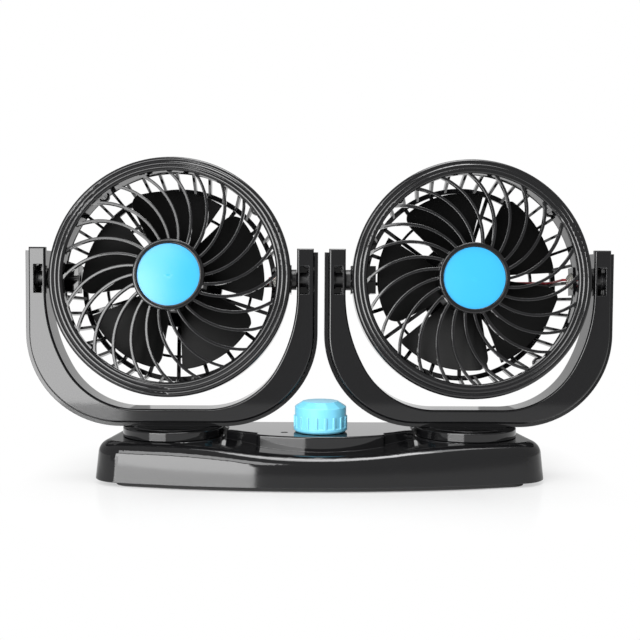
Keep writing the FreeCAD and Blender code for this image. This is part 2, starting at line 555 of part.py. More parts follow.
def pivot_stub(side, sign):
    """A hollow stub on the X axis: tail in the block, shoulder, journal and end collar."""
    body = new_body(f"stub_{side}_master")
    inner = f"{side}_block_inner"
    drawing = new_sketch(body, "XY_Plane", "stub_profile")
    places = [(inner, "lead_bore"), (inner, "tail_radius"), ("pivot_face", "tail_radius"),
              ("pivot_face", "shoulder_radius"), (SHOULDER_END, "shoulder_radius"),
              (SHOULDER_END, "journal_radius"), ("collar_start", "journal_radius"),
              ("collar_start", "collar_radius"), ("collar_start + collar_width", "collar_radius"),
              ("collar_start + collar_width", "lead_bore")]
    outline(drawing, [(f"{sign}({x})", y) for x, y in places])
    feature = body.newObject("PartDesign::Revolution", "stub")
    feature.Profile = drawing
    feature.ReferenceAxis = (drawing, ["H_Axis"])
    feature.Angle = 360
    settle(body, feature)
    return body


def motor_can():
    body = new_body("motor_can_master")
    bore = "(shaft_radius + shaft_gap)"
    turned(body, "can", [(bore, "motor_front - bearing_length"),
                         ("bearing_radius", "motor_front - bearing_length"),
                         ("bearing_radius", "motor_front"),
                         ("motor_radius - can_round", "motor_front", "can_round", 1),
                         ("motor_radius", "motor_front + can_round"), ("motor_radius", MOTOR_BACK),
                         ("0", MOTOR_BACK), ("0", "motor_front + shaft_in_motor + shaft_end_gap"),
                         (bore, "motor_front + shaft_in_motor + shaft_end_gap")])
    return body


def motor_end_cap():
    body = new_body("end_cap_master")
    back = f"({MOTOR_BACK} + end_cap_thickness)"
    turned(body, "cap", [("0", MOTOR_BACK), ("motor_radius - end_cap_inset", MOTOR_BACK),
                         ("motor_radius - end_cap_inset", back), ("bearing_radius", back),
                         ("bearing_radius", f"{back} + end_boss_height"),
                         ("0", f"{back} + end_boss_height")])
    return body


# Motor cover: a flanged cap behind the basket.
def motor_cover():
    body = new_body("motor_cover_master")
    flange = f"({COVER_SEAT} + cover_flange)"
    inner = "(cover_radius - cover_wall)"
    turned(body, "cover", [(inner, COVER_SEAT), ("motor_plate_radius", COVER_SEAT),
                           ("motor_plate_radius", flange), ("cover_radius", flange),
                           ("cover_radius", "cover_rear - 2*cover_wall", "2*cover_wall", 1),
                           ("cover_radius - 2*cover_wall", "cover_rear"), ("0", "cover_rear"),
                           ("0", "cover_rear - cover_wall"), (inner, "cover_rear - cover_wall")])
    drawing = new_sketch(body, "XZ_Plane", "hole_plan", f"-{flange}")
    circles(drawing, [("0", "cover_screw_circle")], SCREW_HOLE)
    hole = sunk(body, "hole", drawing, "cover_flange + cut_margin", back=True)
    repeated(body, "holes", [hole], "Y_Axis", "cover_screw_count")
    return body


# Five-blade impeller: twisted blades trimmed to the tip circle, cup hub, boss on the shaft.
def impeller():
    body = new_body("impeller_master")
    sections = []
    for end in ("root", "tip"):
        drawing = new_sketch(body, "XY_Plane", end + "_section", f"{end}_plane")
        outline(drawing, [(f"-{end}_left", f"-{end}_front", f"{end}_camber", -1),
                          (f"{end}_right", f"{end}_rear"), (f"{end}_right", f"{end}_rear + blade_thickness",
                                                            f"{end}_camber", 1),
                          (f"-{end}_left", f"blade_thickness - {end}_front")])
        sections.append(drawing)
    blade = body.newObject("PartDesign::AdditiveLoft", "blade")
    blade.Profile = sections[0]
    blade.Sections = sections[1:]
    settle(body, blade)
    turned(body, "tip", box_corners("tip_radius", "-tip_front - trim_margin", "tip_radius + trim_margin",
                                    "tip_rear + trim_margin"), cut=True)
    drawing = new_sketch(body, "XZ_Plane", "tip_corner_plan")
    outline(drawing, [("-corner_edge_x", "corner_edge_z", "tip_round", -1),
                      ("-corner_tip_x", "corner_tip_z"),
                      ("-corner_tip_x", "tip_plane + cut_margin"),
                      ("-tip_left - cut_margin", "tip_plane + cut_margin"),
                      ("-tip_left - cut_margin", "corner_edge_z")])
    sunk(body, "tip_corner", drawing, "4*tip_front", middle=True)
    pattern = body.newObject("PartDesign::PolarPattern", "blades")
    pattern.TransformMode = "Whole shape"
    pattern.Axis = (origin_part(body, "Y_Axis"), [""])
    pattern.Angle = 360
    pattern.setExpression("Occurrences", bound("blade_count"))
    settle(body, pattern)
    turned(body, "hub", [("0", "-rotor_front"), ("rotor_hub_radius - rotor_round", "-rotor_front",
                                                 "rotor_round", 1),
                         ("rotor_hub_radius", "rotor_round - rotor_front"),
                         ("rotor_hub_radius", "rotor_rear"), ("0", "rotor_rear")])
    inner = "(rotor_hub_radius - rotor_hub_wall)"
    front = "(rotor_front - rotor_hub_wall)"
    boss = f"({front} - shaft_boss_length)"
    turned(body, "hollow", [("shaft_boss_radius", f"-{front}"), (inner, f"-{front}"),
                            (inner, "rotor_rear + trim_margin"), ("0", "rotor_rear + trim_margin"),
                            ("0", f"-{boss}"), ("shaft_boss_radius", f"-{boss}")], cut=True)
    turned(body, "shaft_hole", box_corners("0", "-shaft_front", "shaft_radius", "0"), cut=True)
    return body


def motor_shaft():
    body = new_body("motor_shaft_master")
    turned(body, "shaft", box_corners("0", "-shaft_front", "shaft_radius", "motor_front + shaft_in_motor"))
    return body


def tube(name, points, bends, radius):
    """A round lead along straight runs joined by tangent arcs."""
    edges = []
    here = points[0]
    for i in range(1, len(points) - 1):
        corner = points[i]
        back = (points[i - 1] - corner).normalize()
        ahead = (points[i + 1] - corner).normalize()
        half = back.getAngle(ahead)/2
        reach = bends[i - 1]/math.tan(half)
        first = corner + back*reach
        last = corner + ahead*reach
        middle = corner + (back + ahead).normalize()*(bends[i - 1]/math.sin(half) - bends[i - 1])
        edges.append(Part.LineSegment(here, first).toShape())
        edges.append(Part.Arc(first, middle, last).toShape())
        here = last
    edges.append(Part.LineSegment(here, points[-1]).toShape())
    path = Part.Wire(edges)
    ring = Part.Wire(Part.makeCircle(radius, points[0], points[1] - points[0]))
    lead = doc.addObject("Part::Feature", name)
    lead.Shape = path.makePipeShell([ring], True, False)
    exact = math.pi*radius**2*path.Length
    if abs(lead.Shape.Volume - exact) > 0.01*exact:
        raise RuntimeError(name + " lost its section")
    return lead


# Motor lead: out of the end cap's side, through the sleeve slot, along the basket, into the hollow pivot.
def motor_lead(name, height):
    start = size("motor_radius - end_cap_inset")
    rear = size(f"{MOTOR_BACK} + end_cap_thickness/2")
    run, drop, turn = size("lead_run"), size("lead_drop"), size("lead_turn")
    points = [FreeCAD.Vector(start, rear, height), FreeCAD.Vector(drop, rear, height),
              FreeCAD.Vector(drop, run, height), FreeCAD.Vector(turn, run, height),
              FreeCAD.Vector(turn, 0, height), FreeCAD.Vector(size("lead_end"), 0, height)]
    bend = size("lead_bend")
    return tube(name, points, [bend, bend, 3*bend, bend], size("lead_radius"))


def lead_glue():
    """A dab of clear glue on the pivot block, open where the leads pass."""
    body = new_body("glue_master")
    drawing = new_sketch(body, "XY_Plane", "dab_profile")
    bow = "((glue_radius^2 + glue_height^2)/(2*glue_height))"
    outline(drawing, [("right_block_inner", "0"), ("right_block_inner", "glue_radius", bow, 1),
                      ("right_block_inner - glue_height", "0")])
    feature = body.newObject("PartDesign::Revolution", "dab")
    feature.Profile = drawing
    feature.ReferenceAxis = (drawing, ["H_Axis"])
    feature.Angle = 360
    settle(body, feature)
    drawing = new_sketch(body, "XY_Plane", "slot_plan")
    outline(drawing, box_corners("right_block_inner - glue_height - cut_margin", "-lead_radius - glue_gap",
                                 "right_block_inner + cut_margin", "glue_radius + cut_margin"))
    sunk(body, "slot", drawing, "2*glue_slot", middle=True)
    return body


def yoke_outline(outer, inner, top):
    """The U seen from the front, inset from the outer and the inner outline."""
    half = f"(yoke_half_width - {outer})"
    corner = f"(outer_corner - {outer})"
    bottom = f"(-yoke_bottom + {outer})"
    inside = f"(yoke_inner_half + {inner})"
    upper = f"(upper_bend + {inner})"
    lower = f"(lower_bend + {inner})"
    meet_x = f"({FLAT_HALF} + {lower}*cos(upper_turn))"
    meet_z = f"(-{LOWER_CENTRE} - {lower}*sin(upper_turn))"
    floor = f"(-{INNER_BOTTOM} - {inner})"
    return [(f"-{half}", top), (f"-{half}", "outer_corner - yoke_bottom", corner, 1),
            ("outer_corner - yoke_half_width", bottom),
            ("yoke_half_width - outer_corner", bottom, corner, 1),
            (half, "outer_corner - yoke_bottom"), (half, top), (inside, top),
            (inside, "-arm_straight", upper, -1), (meet_x, meet_z, lower, -1), (FLAT_HALF, floor),
            (f"-{FLAT_HALF}", floor, lower, -1), (f"-{meet_x}", meet_z, upper, -1),
            (f"-{inside}", "-arm_straight"), (f"-{inside}", top)]


YOKE_POSTS = [(POST_X, "post_height"), (f"-{POST_X}", "post_height"),
              (CORNER_X, f"-{CORNER_Z}"), (f"-{CORNER_X}", f"-{CORNER_Z}")]


# Rear shell of the yoke: a U-shaped tray whose lip shows round the front cover.
def yoke_rear():
    body = new_body("yoke_rear_master")
    drawing = new_sketch(body, "XZ_Plane", "shell_plan", f"-{YOKE_HALF_DEPTH}")
    outline(drawing, yoke_outline("0", "0", LIP_TOP))
    raised(body, "shell", drawing, "yoke_depth - cover_depth")
    back = size(YOKE_HALF_DEPTH)
    rounded(body, "shell_rounding", "shell_edge", lambda edge: lies_at(edge, "Y", back))
    drawing = new_sketch(body, "XZ_Plane", "cavity_plan", SEAM)
    outline(drawing, yoke_outline("yoke_wall", "yoke_wall", f"{LIP_TOP} - yoke_wall"))
    sunk(body, "cavity", drawing, "yoke_depth - cover_depth - yoke_wall")
    drawing = new_sketch(body, "XZ_Plane", "post_plan", f"yoke_wall - {YOKE_HALF_DEPTH}")
    circles(drawing, YOKE_POSTS, "post_radius")
    raised(body, "posts", drawing, f"{YOKE_HALF_DEPTH} - yoke_wall - post_front")
    drawing = new_sketch(body, "XZ_Plane", "foot_block_plan", f"yoke_wall - {YOKE_HALF_DEPTH}")
    for sign in ("", "-"):
        middle = f"{sign}foot_screw_offset"
        outline(drawing, box_corners(f"{middle} - foot_block_half", "yoke_wall/2 - yoke_bottom",
                                     f"{middle} + foot_block_half", f"-{INNER_BOTTOM} - yoke_wall/2"))
    raised(body, "foot_blocks", drawing, f"{YOKE_HALF_DEPTH} - yoke_wall + foot_block_front")
    drawing = new_sketch(body, "XZ_Plane", "head_recess_plan", f"-{YOKE_HALF_DEPTH}")
    circles(drawing, YOKE_POSTS, "screw_head_radius + screw_seat_gap")
    sunk(body, "head_recesses", drawing, "screw_head_height + screw_seat_gap", back=True)
    drawing = new_sketch(body, "XZ_Plane", "screw_hole_plan", f"-{YOKE_HALF_DEPTH}")
    circles(drawing, YOKE_POSTS, SCREW_HOLE)
    sunk(body, "screw_holes", drawing, "yoke_depth", back=True)
    drawing = new_sketch(body, "YZ_Plane", "journal_slot_plan")
    gap = "(journal_radius + journal_gap)"
    outline(drawing, [(f"-{SEAM} - cut_margin", f"-{gap}"), ("0", f"-{gap}", gap, 1), (gap, "0", gap, 1),
                      ("0", gap), (f"-{SEAM} - cut_margin", gap)])
    sunk(body, "journal_slots", drawing, "2*(yoke_inner_half + yoke_wall + cut_margin)", middle=True)
    drawing = new_sketch(body, "XY_Plane", "foot_hole_plan", "-yoke_bottom")
    circles(drawing, [("foot_screw_offset", "0"), ("-foot_screw_offset", "0")], SCREW_HOLE)
    sunk(body, "foot_holes", drawing, "foot_screw_length", back=True)
    drawing = new_sketch(body, "XY_Plane", "lead_hole_plan", "-yoke_bottom")
    circles(drawing, [("0", "0")], "swivel_bore")
    sunk(body, "lead_hole", drawing, "2*yoke_wall", back=True)
    return body


# Front cover of the yoke: raised face, two windows, tongues over the journals, screw bosses.
def yoke_front():
    body = new_body("yoke_front_master")
    drawing = new_sketch(body, "XZ_Plane", "cover_plan", SEAM)
    outline(drawing, yoke_outline("lip_width", "0", "arm_top"))
    raised(body, "cover", drawing, "cover_depth")
    front = -size(YOKE_HALF_DEPTH)
    rounded(body, "cover_rounding", "cover_edge", lambda edge: lies_at(edge, "Y", front))
    drawing = new_sketch(body, "XZ_Plane", "window_plan", YOKE_HALF_DEPTH)
    near = "(yoke_inner_half + window_offset)"
    far = "(yoke_inner_half + window_offset + window_width)"
    outline(drawing, box_corners(near, "-window_half_height", far, "window_half_height"))
    outline(drawing, box_corners(f"-{far}", "-window_half_height", f"-{near}", "window_half_height"))
    sunk(body, "windows", drawing, "cover_depth")
    half = "(journal_radius + journal_gap - tongue_gap)"
    drawing = new_sketch(body, "XZ_Plane", "tongue_plan", SEAM)
    near = "(yoke_inner_half + tongue_gap)"
    outline(drawing, box_corners(near, f"-{half}", "yoke_inner_half + window_offset", half))
    outline(drawing, box_corners("-yoke_inner_half - window_offset", f"-{half}", f"-{near}", half))
    raised(body, "tongues", drawing, "tongue_depth", back=True)
    drawing = new_sketch(body, "XZ_Plane", "boss_plan", SEAM)
    circles(drawing, YOKE_POSTS, "cover_boss_radius_yoke")
    raised(body, "bosses", drawing, f"{SEAM} + post_front - boss_gap", back=True)
    drawing = new_sketch(body, "XZ_Plane", "boss_hole_plan", "boss_gap - post_front")
    circles(drawing, YOKE_POSTS, SCREW_HOLE)
    sunk(body, "boss_holes", drawing, f"{SEAM} + post_front", back=True)
    return body


# Lead inside the yoke: along the floor, round the corner and up the arm to the hollow pivot.
def yoke_lead():
    inset = size("yoke_wall + yoke_lead_gap + yoke_lead_radius")
    depth = -size(f"({SEAM} + foot_block_front)/2")
    bend = size("outer_corner") - inset
    floor = inset - size("yoke_bottom")
    arm = size("yoke_half_width") - inset
    points = [FreeCAD.Vector(0, depth, floor), FreeCAD.Vector(arm, depth, floor),
              FreeCAD.Vector(arm, depth, -size("yoke_lead_top"))]
    return tube("yoke_lead_master", points, [bend], size("yoke_lead_radius"))


# Swivel disc: the round foot that carries the yoke, with a hollow spigot through the base roof.
def turntable():
    body = new_body("turntable_master")
    disc_edge = f"({DISC_TOP} - disc_round)"
    turned(body, "disc", [("swivel_bore", SPIGOT_END), ("spigot_radius", SPIGOT_END),
                          ("spigot_radius", DISC_BOTTOM), ("disc_radius", DISC_BOTTOM),
                          ("disc_radius", disc_edge, "disc_round", 1),
                          ("disc_radius - disc_round", DISC_TOP),
                          ("boss_radius", DISC_TOP), ("boss_radius", YOKE_FLOOR),
                          ("swivel_bore", YOKE_FLOOR)], role="XZ_Plane")
    places = [("foot_screw_offset", "0"), ("-foot_screw_offset", "0")]
    drawing = new_sketch(body, "XY_Plane", "foot_recess_plan", DISC_BOTTOM)
    circles(drawing, places, "screw_head_radius + screw_seat_gap")
    sunk(body, "foot_recesses", drawing, "screw_head_height + screw_seat_gap", back=True)
    drawing = new_sketch(body, "XY_Plane", "foot_hole_plan", DISC_BOTTOM)
    circles(drawing, places, SCREW_HOLE)
    sunk(body, "foot_holes", drawing, "disc_thickness + boss_height + cut_margin", back=True)
    drawing = new_sketch(body, "XY_Plane", "retainer_hole_plan", SPIGOT_END)
    circles(drawing, [("0", "retainer_screw_circle")], SCREW_HOLE)
    hole = sunk(body, "retainer_hole", drawing, "retainer_screw_length", back=True)
    repeated(body, "retainer_holes", [hole], "Z_Axis", "retainer_screw_count")
    return body


def swivel_retainer():
    """The ring under the base roof, with the lug that meets the stop."""
    body = new_body("retainer_master")
    low = f"({SPIGOT_END} - retainer_thickness)"
    turned(body, "plate", box_corners("swivel_bore", low, "washer_radius", SPIGOT_END), role="XZ_Plane")
    drawing = new_sketch(body, "XY_Plane", "lug_plan", low)
    outline(drawing, box_corners("-stop_half_width", "washer_radius - fuse_overlap",
                                 "stop_half_width", "stop_reach"))
    raised(body, "lug", drawing, "retainer_thickness")
    drawing = new_sketch(body, "XY_Plane", "hole_plan", low)
    circles(drawing, [("0", "retainer_screw_circle")], SCREW_HOLE)
    hole = sunk(body, "hole", drawing, "retainer_thickness", back=True)
    repeated(body, "holes", [hole], "Z_Axis", "retainer_screw_count")
    return body


def swivel_washer():
    body = new_body("washer_master")
    turned(body, "washer", box_corners("spigot_radius + spigot_gap", f"{SPIGOT_END} + washer_gap",
                                       "washer_radius", f"{ROOF_UNDER} - washer_gap"), role="XZ_Plane")
    return body


WAYS = {"+Z": FreeCAD.Vector(0, 0, 1), "-Y": FreeCAD.Vector(0, -1, 0)}


def screw(name, place, way, length):
    """A pan-head screw with a cross recess: its seat at the place, its shank pointing along the way."""
    head = doc.addObject("Part::Cylinder", name + "_head")
    head.setExpression("Radius", bound("screw_head_radius"))
    head.setExpression("Height", bound("screw_head_height"))
    shank = doc.addObject("Part::Cylinder", name + "_shank")
    shank.setExpression("Radius", bound("screw_radius"))
    shank.setExpression("Height", bound(f"{length} + screw_head_height/2"))
    shank.setExpression("Placement.Base.z", bound(f"-({length})"))
    whole = doc.addObject("Part::Fuse", name + "_blank")
    whole.Base = head
    whole.Tool = shank
    for step, (wide, deep) in enumerate((("recess_half_length", "recess_half_width"),
                                         ("recess_half_width", "recess_half_length"))):
        slot = doc.addObject("Part::Box", f"{name}_slot_{step}")
        slot.setExpression("Length", bound(f"2*{wide}"))
        slot.setExpression("Width", bound(f"2*{deep}"))
        slot.setExpression("Height", bound("recess_depth + cut_margin"))
        slot.setExpression("Placement.Base.x", bound(f"-{wide}"))
        slot.setExpression("Placement.Base.y", bound(f"-{deep}"))
        slot.setExpression("Placement.Base.z", bound("screw_head_height - recess_depth"))
        cut = doc.addObject("Part::Cut", f"{name}_cut_{step}")
        cut.Base = whole
        cut.Tool = slot
        whole = cut
    turn = FreeCAD.Rotation(FreeCAD.Vector(0, 0, -1), WAYS[way])
    whole.Placement = FreeCAD.Placement(FreeCAD.Vector(0, 0, 0), turn)
    for letter, text in zip("xyz", place):
        whole.setExpression(f"Placement.Base.{letter}", bound(text))
    return whole


def screws(name, places, way, length):
    group = doc.addObject("Part::Compound", name)
    group.Links = [screw(f"{name}_{i}", place, way, length) for i, place in enumerate(places)]
    doc.recompute()
    return group


def circle_places(radius, count, start, level, upright):
    """Places evenly round a circle, about Z where upright, else about Y."""
    places = []
    for i in range(round(size(count))):
        angle = f"({start} + {i}*360/{count})"
        first, second = f"{radius}*cos({angle})", f"{radius}*sin({angle})"
        places.append((first, second, level) if upright else (first, level, second))
    return places


# Base outline in plan: bowed front, sides drawn in to a straight rear edge, inset by a wall.
def base_outline(inset):
    bow = f"(base_front_radius - {inset})"
    half = f"(base_half_length - {inset})"
    rear_half = f"(base_rear_half - {inset})"
    centre = "(base_front_radius - base_front)"
    front = f"({centre} - sqrt({bow}^2 - {half}^2))"
    rear = f"(base_rear - {inset})"
    return [(f"-{half}", front, bow, 1), (half, front), (rear_half, rear), (f"-{rear_half}", rear)]


# Solid block of the base outline between two heights, with its plan corners rounded.
def base_block(body, name, inset, low, height, taper="0"):
    drawing = new_sketch(body, "XY_Plane", name + "_plan", low)
    outline(drawing, base_outline(inset))
    block = raised(body, name, drawing, height)
    block.setExpression("TaperAngle", bound(f"-{taper}"))
    settle(body, block)
    upright = size(height)/2
    for end, corner in (("front", "front_corner"), ("rear", "rear_corner")):
        def chosen(edge, ahead=end == "front"):
            return edge.BoundBox.ZLength > upright and (edge.BoundBox.YMax < 0) == ahead
        rounded(body, f"{name}_{end}_corners", f"{corner} - ({inset})", chosen)


def base_cavity():
    body = new_body("base_cavity")
    base_block(body, "cavity", "base_wall", "base_bottom - cut_margin",
               "cavity_top - base_bottom + cut_margin")
    return body


SWIVELS = [(SWIVEL_X, "0"), (f"-{SWIVEL_X}", "0")]
BASE_POSTS = [(f"{side}{x}", y) for side in ("", "-")
              for x, y in (("end_post", "0"), ("middle_post", "-front_post"), ("middle_post", "rear_post"))]


# Outside of the base: saddle-topped block, disc seats, and the deck that carries the knob.
def base_blank():
    body = new_body("base_blank")
    base_block(body, "block", "0", "base_bottom", "seat_height - base_bottom", "base_taper")
    drawing = new_sketch(body, "XZ_Plane", "saddle_plan")
    bend = "((saddle_half^2 + saddle_drop^2)/(4*saddle_drop))"
    turn_x, turn_z = "saddle_half/2", "seat_height - saddle_drop/2"
    outline(drawing, [("-saddle_half", "seat_height", bend, -1), (f"-{turn_x}", turn_z, bend, 1),
                      (turn_x, turn_z, bend, -1), ("saddle_half", "seat_height"),
                      ("saddle_half", "seat_height + cut_margin"),
                      ("-saddle_half", "seat_height + cut_margin")])
    sunk(body, "saddle", drawing, "2*(base_front + base_rear)", middle=True)
    low = size("seat_height - saddle_drop - fuse_overlap")
    rounded(body, "top_rounding", "base_edge",
            lambda edge: edge.BoundBox.ZMin > low and not runs_along(edge, "Y"))
    drawing = new_sketch(body, "XY_Plane", "seat_plan", "deck_root")
    circles(drawing, SWIVELS, "seat_radius")
    raised(body, "seats", drawing, "seat_height - deck_root")
    return body


# Deck: the raised platform, bowed in front of the knob and hollowed round the discs.
def deck():
    body = new_body("deck_blank")
    sweep = "(disc_radius + deck_gap)"
    sag = "(bump_front - bump_corner)"
    bow = f"((bump_half^2 + {sag}^2)/(2*{sag}))"
    near = f"({SWIVEL_X} - sqrt({sweep}^2 - deck_front^2))"
    far = f"({SWIVEL_X} - sqrt({sweep}^2 - deck_side^2))"
    drawing = new_sketch(body, "XY_Plane", "deck_plan", "deck_root")
    outline(drawing, [("-bump_half", "-bump_corner", bow, 1), ("bump_half", "-bump_corner"),
                      ("bump_half", "-bump_back"), (near, "-deck_front", sweep, -1), (far, "deck_side"),
                      (far, "deck_rear"), (f"-{far}", "deck_rear"), (f"-{far}", "deck_side", sweep, -1),
                      (f"-{near}", "-deck_front"), ("-bump_half", "-bump_back")])
    raised(body, "deck", drawing, "deck_height - deck_root")
    corner = size("bump_corner")
    rounded(body, "bump_corners", "bump_round",
            lambda edge: runs_along(edge, "Z") and abs(edge.BoundBox.YMin + corner) < 0.01)
    top = size("deck_height")
    rounded(body, "deck_rounding", "deck_edge", lambda edge: lies_at(edge, "Z", top))
    return body


def base_top():
    whole = doc.addObject("Part::Fuse", "base_outside")
    whole.Base = base_blank()
    whole.Tool = deck()
    hollow = doc.addObject("Part::Cut", "base_hollow")
    hollow.Base = whole
    hollow.Tool = base_cavity()
    doc.recompute()
    body = new_body("base_top")
    body.BaseFeature = hollow
    doc.recompute()
    drawing = new_sketch(body, "XY_Plane", "well_plan", "base_bottom")
    circles(drawing, SWIVELS, "well_radius")
    sunk(body, "wells", drawing, f"{ROOF_UNDER} - base_bottom", back=True)
    drawing = new_sketch(body, "XY_Plane", "stop_plan", f"{SPIGOT_END} - retainer_thickness")
    for sign in ("", "-"):
        middle = f"{sign}{SWIVEL_X}"
        outline(drawing, box_corners(f"{middle} - stop_half_width", "-stop_reach - fuse_overlap",
                                     f"{middle} + stop_half_width", "-washer_radius - fuse_overlap"))
    raised(body, "stops", drawing, f"{ROOF_UNDER} - {SPIGOT_END} + retainer_thickness + fuse_overlap")
    drawing = new_sketch(body, "XY_Plane", "spigot_hole_plan", "seat_height")
    circles(drawing, SWIVELS, "spigot_radius + spigot_gap")
    sunk(body, "spigot_holes", drawing, "roof_thickness + cut_margin")
    drawing = new_sketch(body, "XY_Plane", "switch_pocket_plan", "base_bottom")
    half = "(switch_width/2 + switch_pocket_gap)"
    deep = "(switch_depth/2 + switch_pocket_gap)"
    outline(drawing, box_corners(f"-{half}", f"-knob_setback - {deep}", half, f"{deep} - knob_setback"))
    sunk(body, "switch_pocket", drawing, f"{SWITCH_TOP} - base_bottom", back=True)
    drawing = new_sketch(body, "XY_Plane", "bush_hole_plan", "deck_height")
    circles(drawing, [("0", "-knob_setback")], "bush_radius + bush_gap")
    sunk(body, "bush_hole", drawing, "switch_roof + cut_margin")
    drawing = new_sketch(body, "XY_Plane", "indicator_hole_plan", "deck_height")
    circles(drawing, [("-indicator_offset", "-indicator_setback")], "indicator_radius + indicator_gap")
    sunk(body, "indicator_hole", drawing, "deck_height - cavity_top + cut_margin")
    drawing = new_sketch(body, "XY_Plane", "post_plan", f"{PLATE_TOP} + post_gap")
    circles(drawing, BASE_POSTS, "post_size")
    raised(body, "posts", drawing, f"cavity_top + fuse_overlap - {PLATE_TOP}")
    drawing = new_sketch(body, "XY_Plane", "post_hole_plan", f"{PLATE_TOP} + post_gap")
    circles(drawing, BASE_POSTS, SCREW_HOLE)
    sunk(body, "post_holes", drawing, "base_screw_length", back=True)
    drawing = new_sketch(body, "XZ_Plane", "gland_hole_plan", "-base_rear - cut_margin")
    circles(drawing, [("0", "gland_height")], "gland_radius + gland_gap")
    sunk(body, "gland_hole", drawing, "base_wall + 2*cut_margin", back=True)
    drawing = new_sketch(body, "XZ_Plane", "gland_seat_plan", f"-{GLAND_SEAT}")
    circles(drawing, [("0", "gland_height")], "gland_flange + gland_gap")
    sunk(body, "gland_seat", drawing, "gland_seat_depth + cut_margin")
    return body


def base_bottom():
    body = new_body("base_bottom")
    base_block(body, "plate", "(base_wall + plate_gap)", "base_bottom", "plate_thickness")
    drawing = new_sketch(body, "XY_Plane", "recess_plan", "base_bottom")
    circles(drawing, BASE_POSTS, "screw_head_radius + screw_seat_gap")
    sunk(body, "recesses", drawing, "screw_head_height + post_gap", back=True)
    drawing = new_sketch(body, "XY_Plane", "hole_plan", "base_bottom")
    circles(drawing, BASE_POSTS, SCREW_HOLE)
    sunk(body, "holes", drawing, "plate_thickness + cut_margin", back=True)
    return body


def adhesive_pad():
    body = new_body("adhesive_pad")
    drawing = new_sketch(body, "XY_Plane", "pad_plan")
    outline(drawing, [("-pad_half_length", "pad_front", "pad_bow", 1), ("pad_half_length", "pad_front"),
                      ("pad_half_length", "pad_rear"), ("-pad_half_length", "pad_rear")])
    raised(body, "pad", drawing, "base_bottom")
    rounded(body, "pad_corners", "pad_corner", lambda edge: runs_along(edge, "Z"))
    return body


def rotary_switch():
    body = new_body("rotary_switch")
    drawing = new_sketch(body, "XY_Plane", "box_plan", f"{SWITCH_TOP} - switch_height")
    outline(drawing, box_corners("-switch_width/2", "-switch_depth/2", "switch_width/2", "switch_depth/2"))
    raised(body, "box", drawing, "switch_height")
    drawing = new_sketch(body, "XY_Plane", "bush_plan", SWITCH_TOP)
    circles(drawing, [("0", "0")], "bush_radius")
    raised(body, "bush", drawing, "switch_roof + bush_height")
    drawing = new_sketch(body, "XY_Plane", "bore_plan", "deck_height + bush_height")
    circles(drawing, [("0", "0")], "switch_shaft_radius + switch_shaft_gap")
    sunk(body, "bore", drawing, "bush_height + switch_shaft_depth")
    return body


def switch_nut():
    body = new_body("switch_nut")
    drawing = new_sketch(body, "XY_Plane", "nut_plan", "deck_height")
    turns = [f"({i}*360/nut_sides)" for i in range(round(size("nut_sides")))]
    outline(drawing, [(f"nut_radius*cos({turn})", f"nut_radius*sin({turn})") for turn in turns])
    circles(drawing, [("0", "0")], "bush_radius + bush_gap/2")
    raised(body, "nut", drawing, "nut_height")
    return body


def switch_shaft():
    body = new_body("switch_shaft")
    top = f"({KNOB_FLOOR} + knob_cavity_height + knob_shaft_depth)"
    low = "(deck_height - switch_shaft_depth + bush_gap)"
    turned(body, "shaft", [("0", low), ("switch_shaft_radius", low),
                           ("switch_shaft_radius", f"{top} - bush_gap - shaft_chamfer"),
                           ("switch_shaft_radius - shaft_chamfer", f"{top} - bush_gap"),
                           ("0", f"{top} - bush_gap")], role="XZ_Plane")
    return body


# Knob: chamfered skirt lip, ribbed lower half, plain band, faceted chamfer and a flat top.
def knob():
    body = new_body("knob")
    lip = f"({KNOB_FLOOR} + knob_lip)"
    cavity = f"({KNOB_FLOOR} + knob_cavity_height)"
    bore = "(switch_shaft_radius + switch_shaft_gap)"
    turned(body, "turned", [("knob_cavity_radius", KNOB_FLOOR),
                            ("knob_skirt_radius - knob_lip_chamfer", KNOB_FLOOR),
                            ("knob_skirt_radius", f"{KNOB_FLOOR} + knob_lip_chamfer"),
                            ("knob_skirt_radius", lip), ("knob_radius", f"{lip} + knob_lip_fall"),
                            ("knob_radius", f"{KNOB_TOP} - knob_chamfer"), ("knob_top_radius", KNOB_TOP),
                            ("0", KNOB_TOP), ("0", f"{cavity} + knob_shaft_depth"),
                            (bore, f"{cavity} + knob_shaft_depth"), (bore, cavity),
                            ("knob_cavity_radius", cavity)], role="XZ_Plane")
    drawing = new_sketch(body, "XZ_Plane", "rib_plan")
    outline(drawing, box_corners("knob_radius - rib_root", f"{KNOB_FLOOR} + rib_bottom", "knob_skirt_radius",
                                 f"{KNOB_FLOOR} + rib_top"))
    rib = raised(body, "rib", drawing, "rib_width", middle=True)
    repeated(body, "ribs", [rib], "Z_Axis", "rib_count")
    slope = "(knob_chamfer/(knob_radius - knob_top_radius))"
    drawing = new_sketch(body, "XZ_Plane", "facet_plan")
    near = "(knob_top_radius - facet_depth)"
    far = "(knob_radius + cut_margin)"
    outline(drawing, [(near, KNOB_TOP), (far, f"{KNOB_TOP} - {slope}*({far} - {near})"),
                      (far, f"{KNOB_TOP} + cut_margin"), (near, f"{KNOB_TOP} + cut_margin")])
    facet = sunk(body, "facet", drawing, "knob_radius", middle=True)
    repeated(body, "facets", [facet], "Z_Axis", "facet_count")
    return body


def indicator_led():
    body = new_body("indicator_led")
    low = "(deck_height - indicator_length)"
    top = "(deck_height - indicator_recess)"
    turned(body, "lens", [("0", low), ("indicator_radius", low),
                          ("indicator_radius", f"{top} - indicator_shoulder"),
                          ("indicator_radius - indicator_shoulder", top), ("0", top)], role="XZ_Plane")
    return body


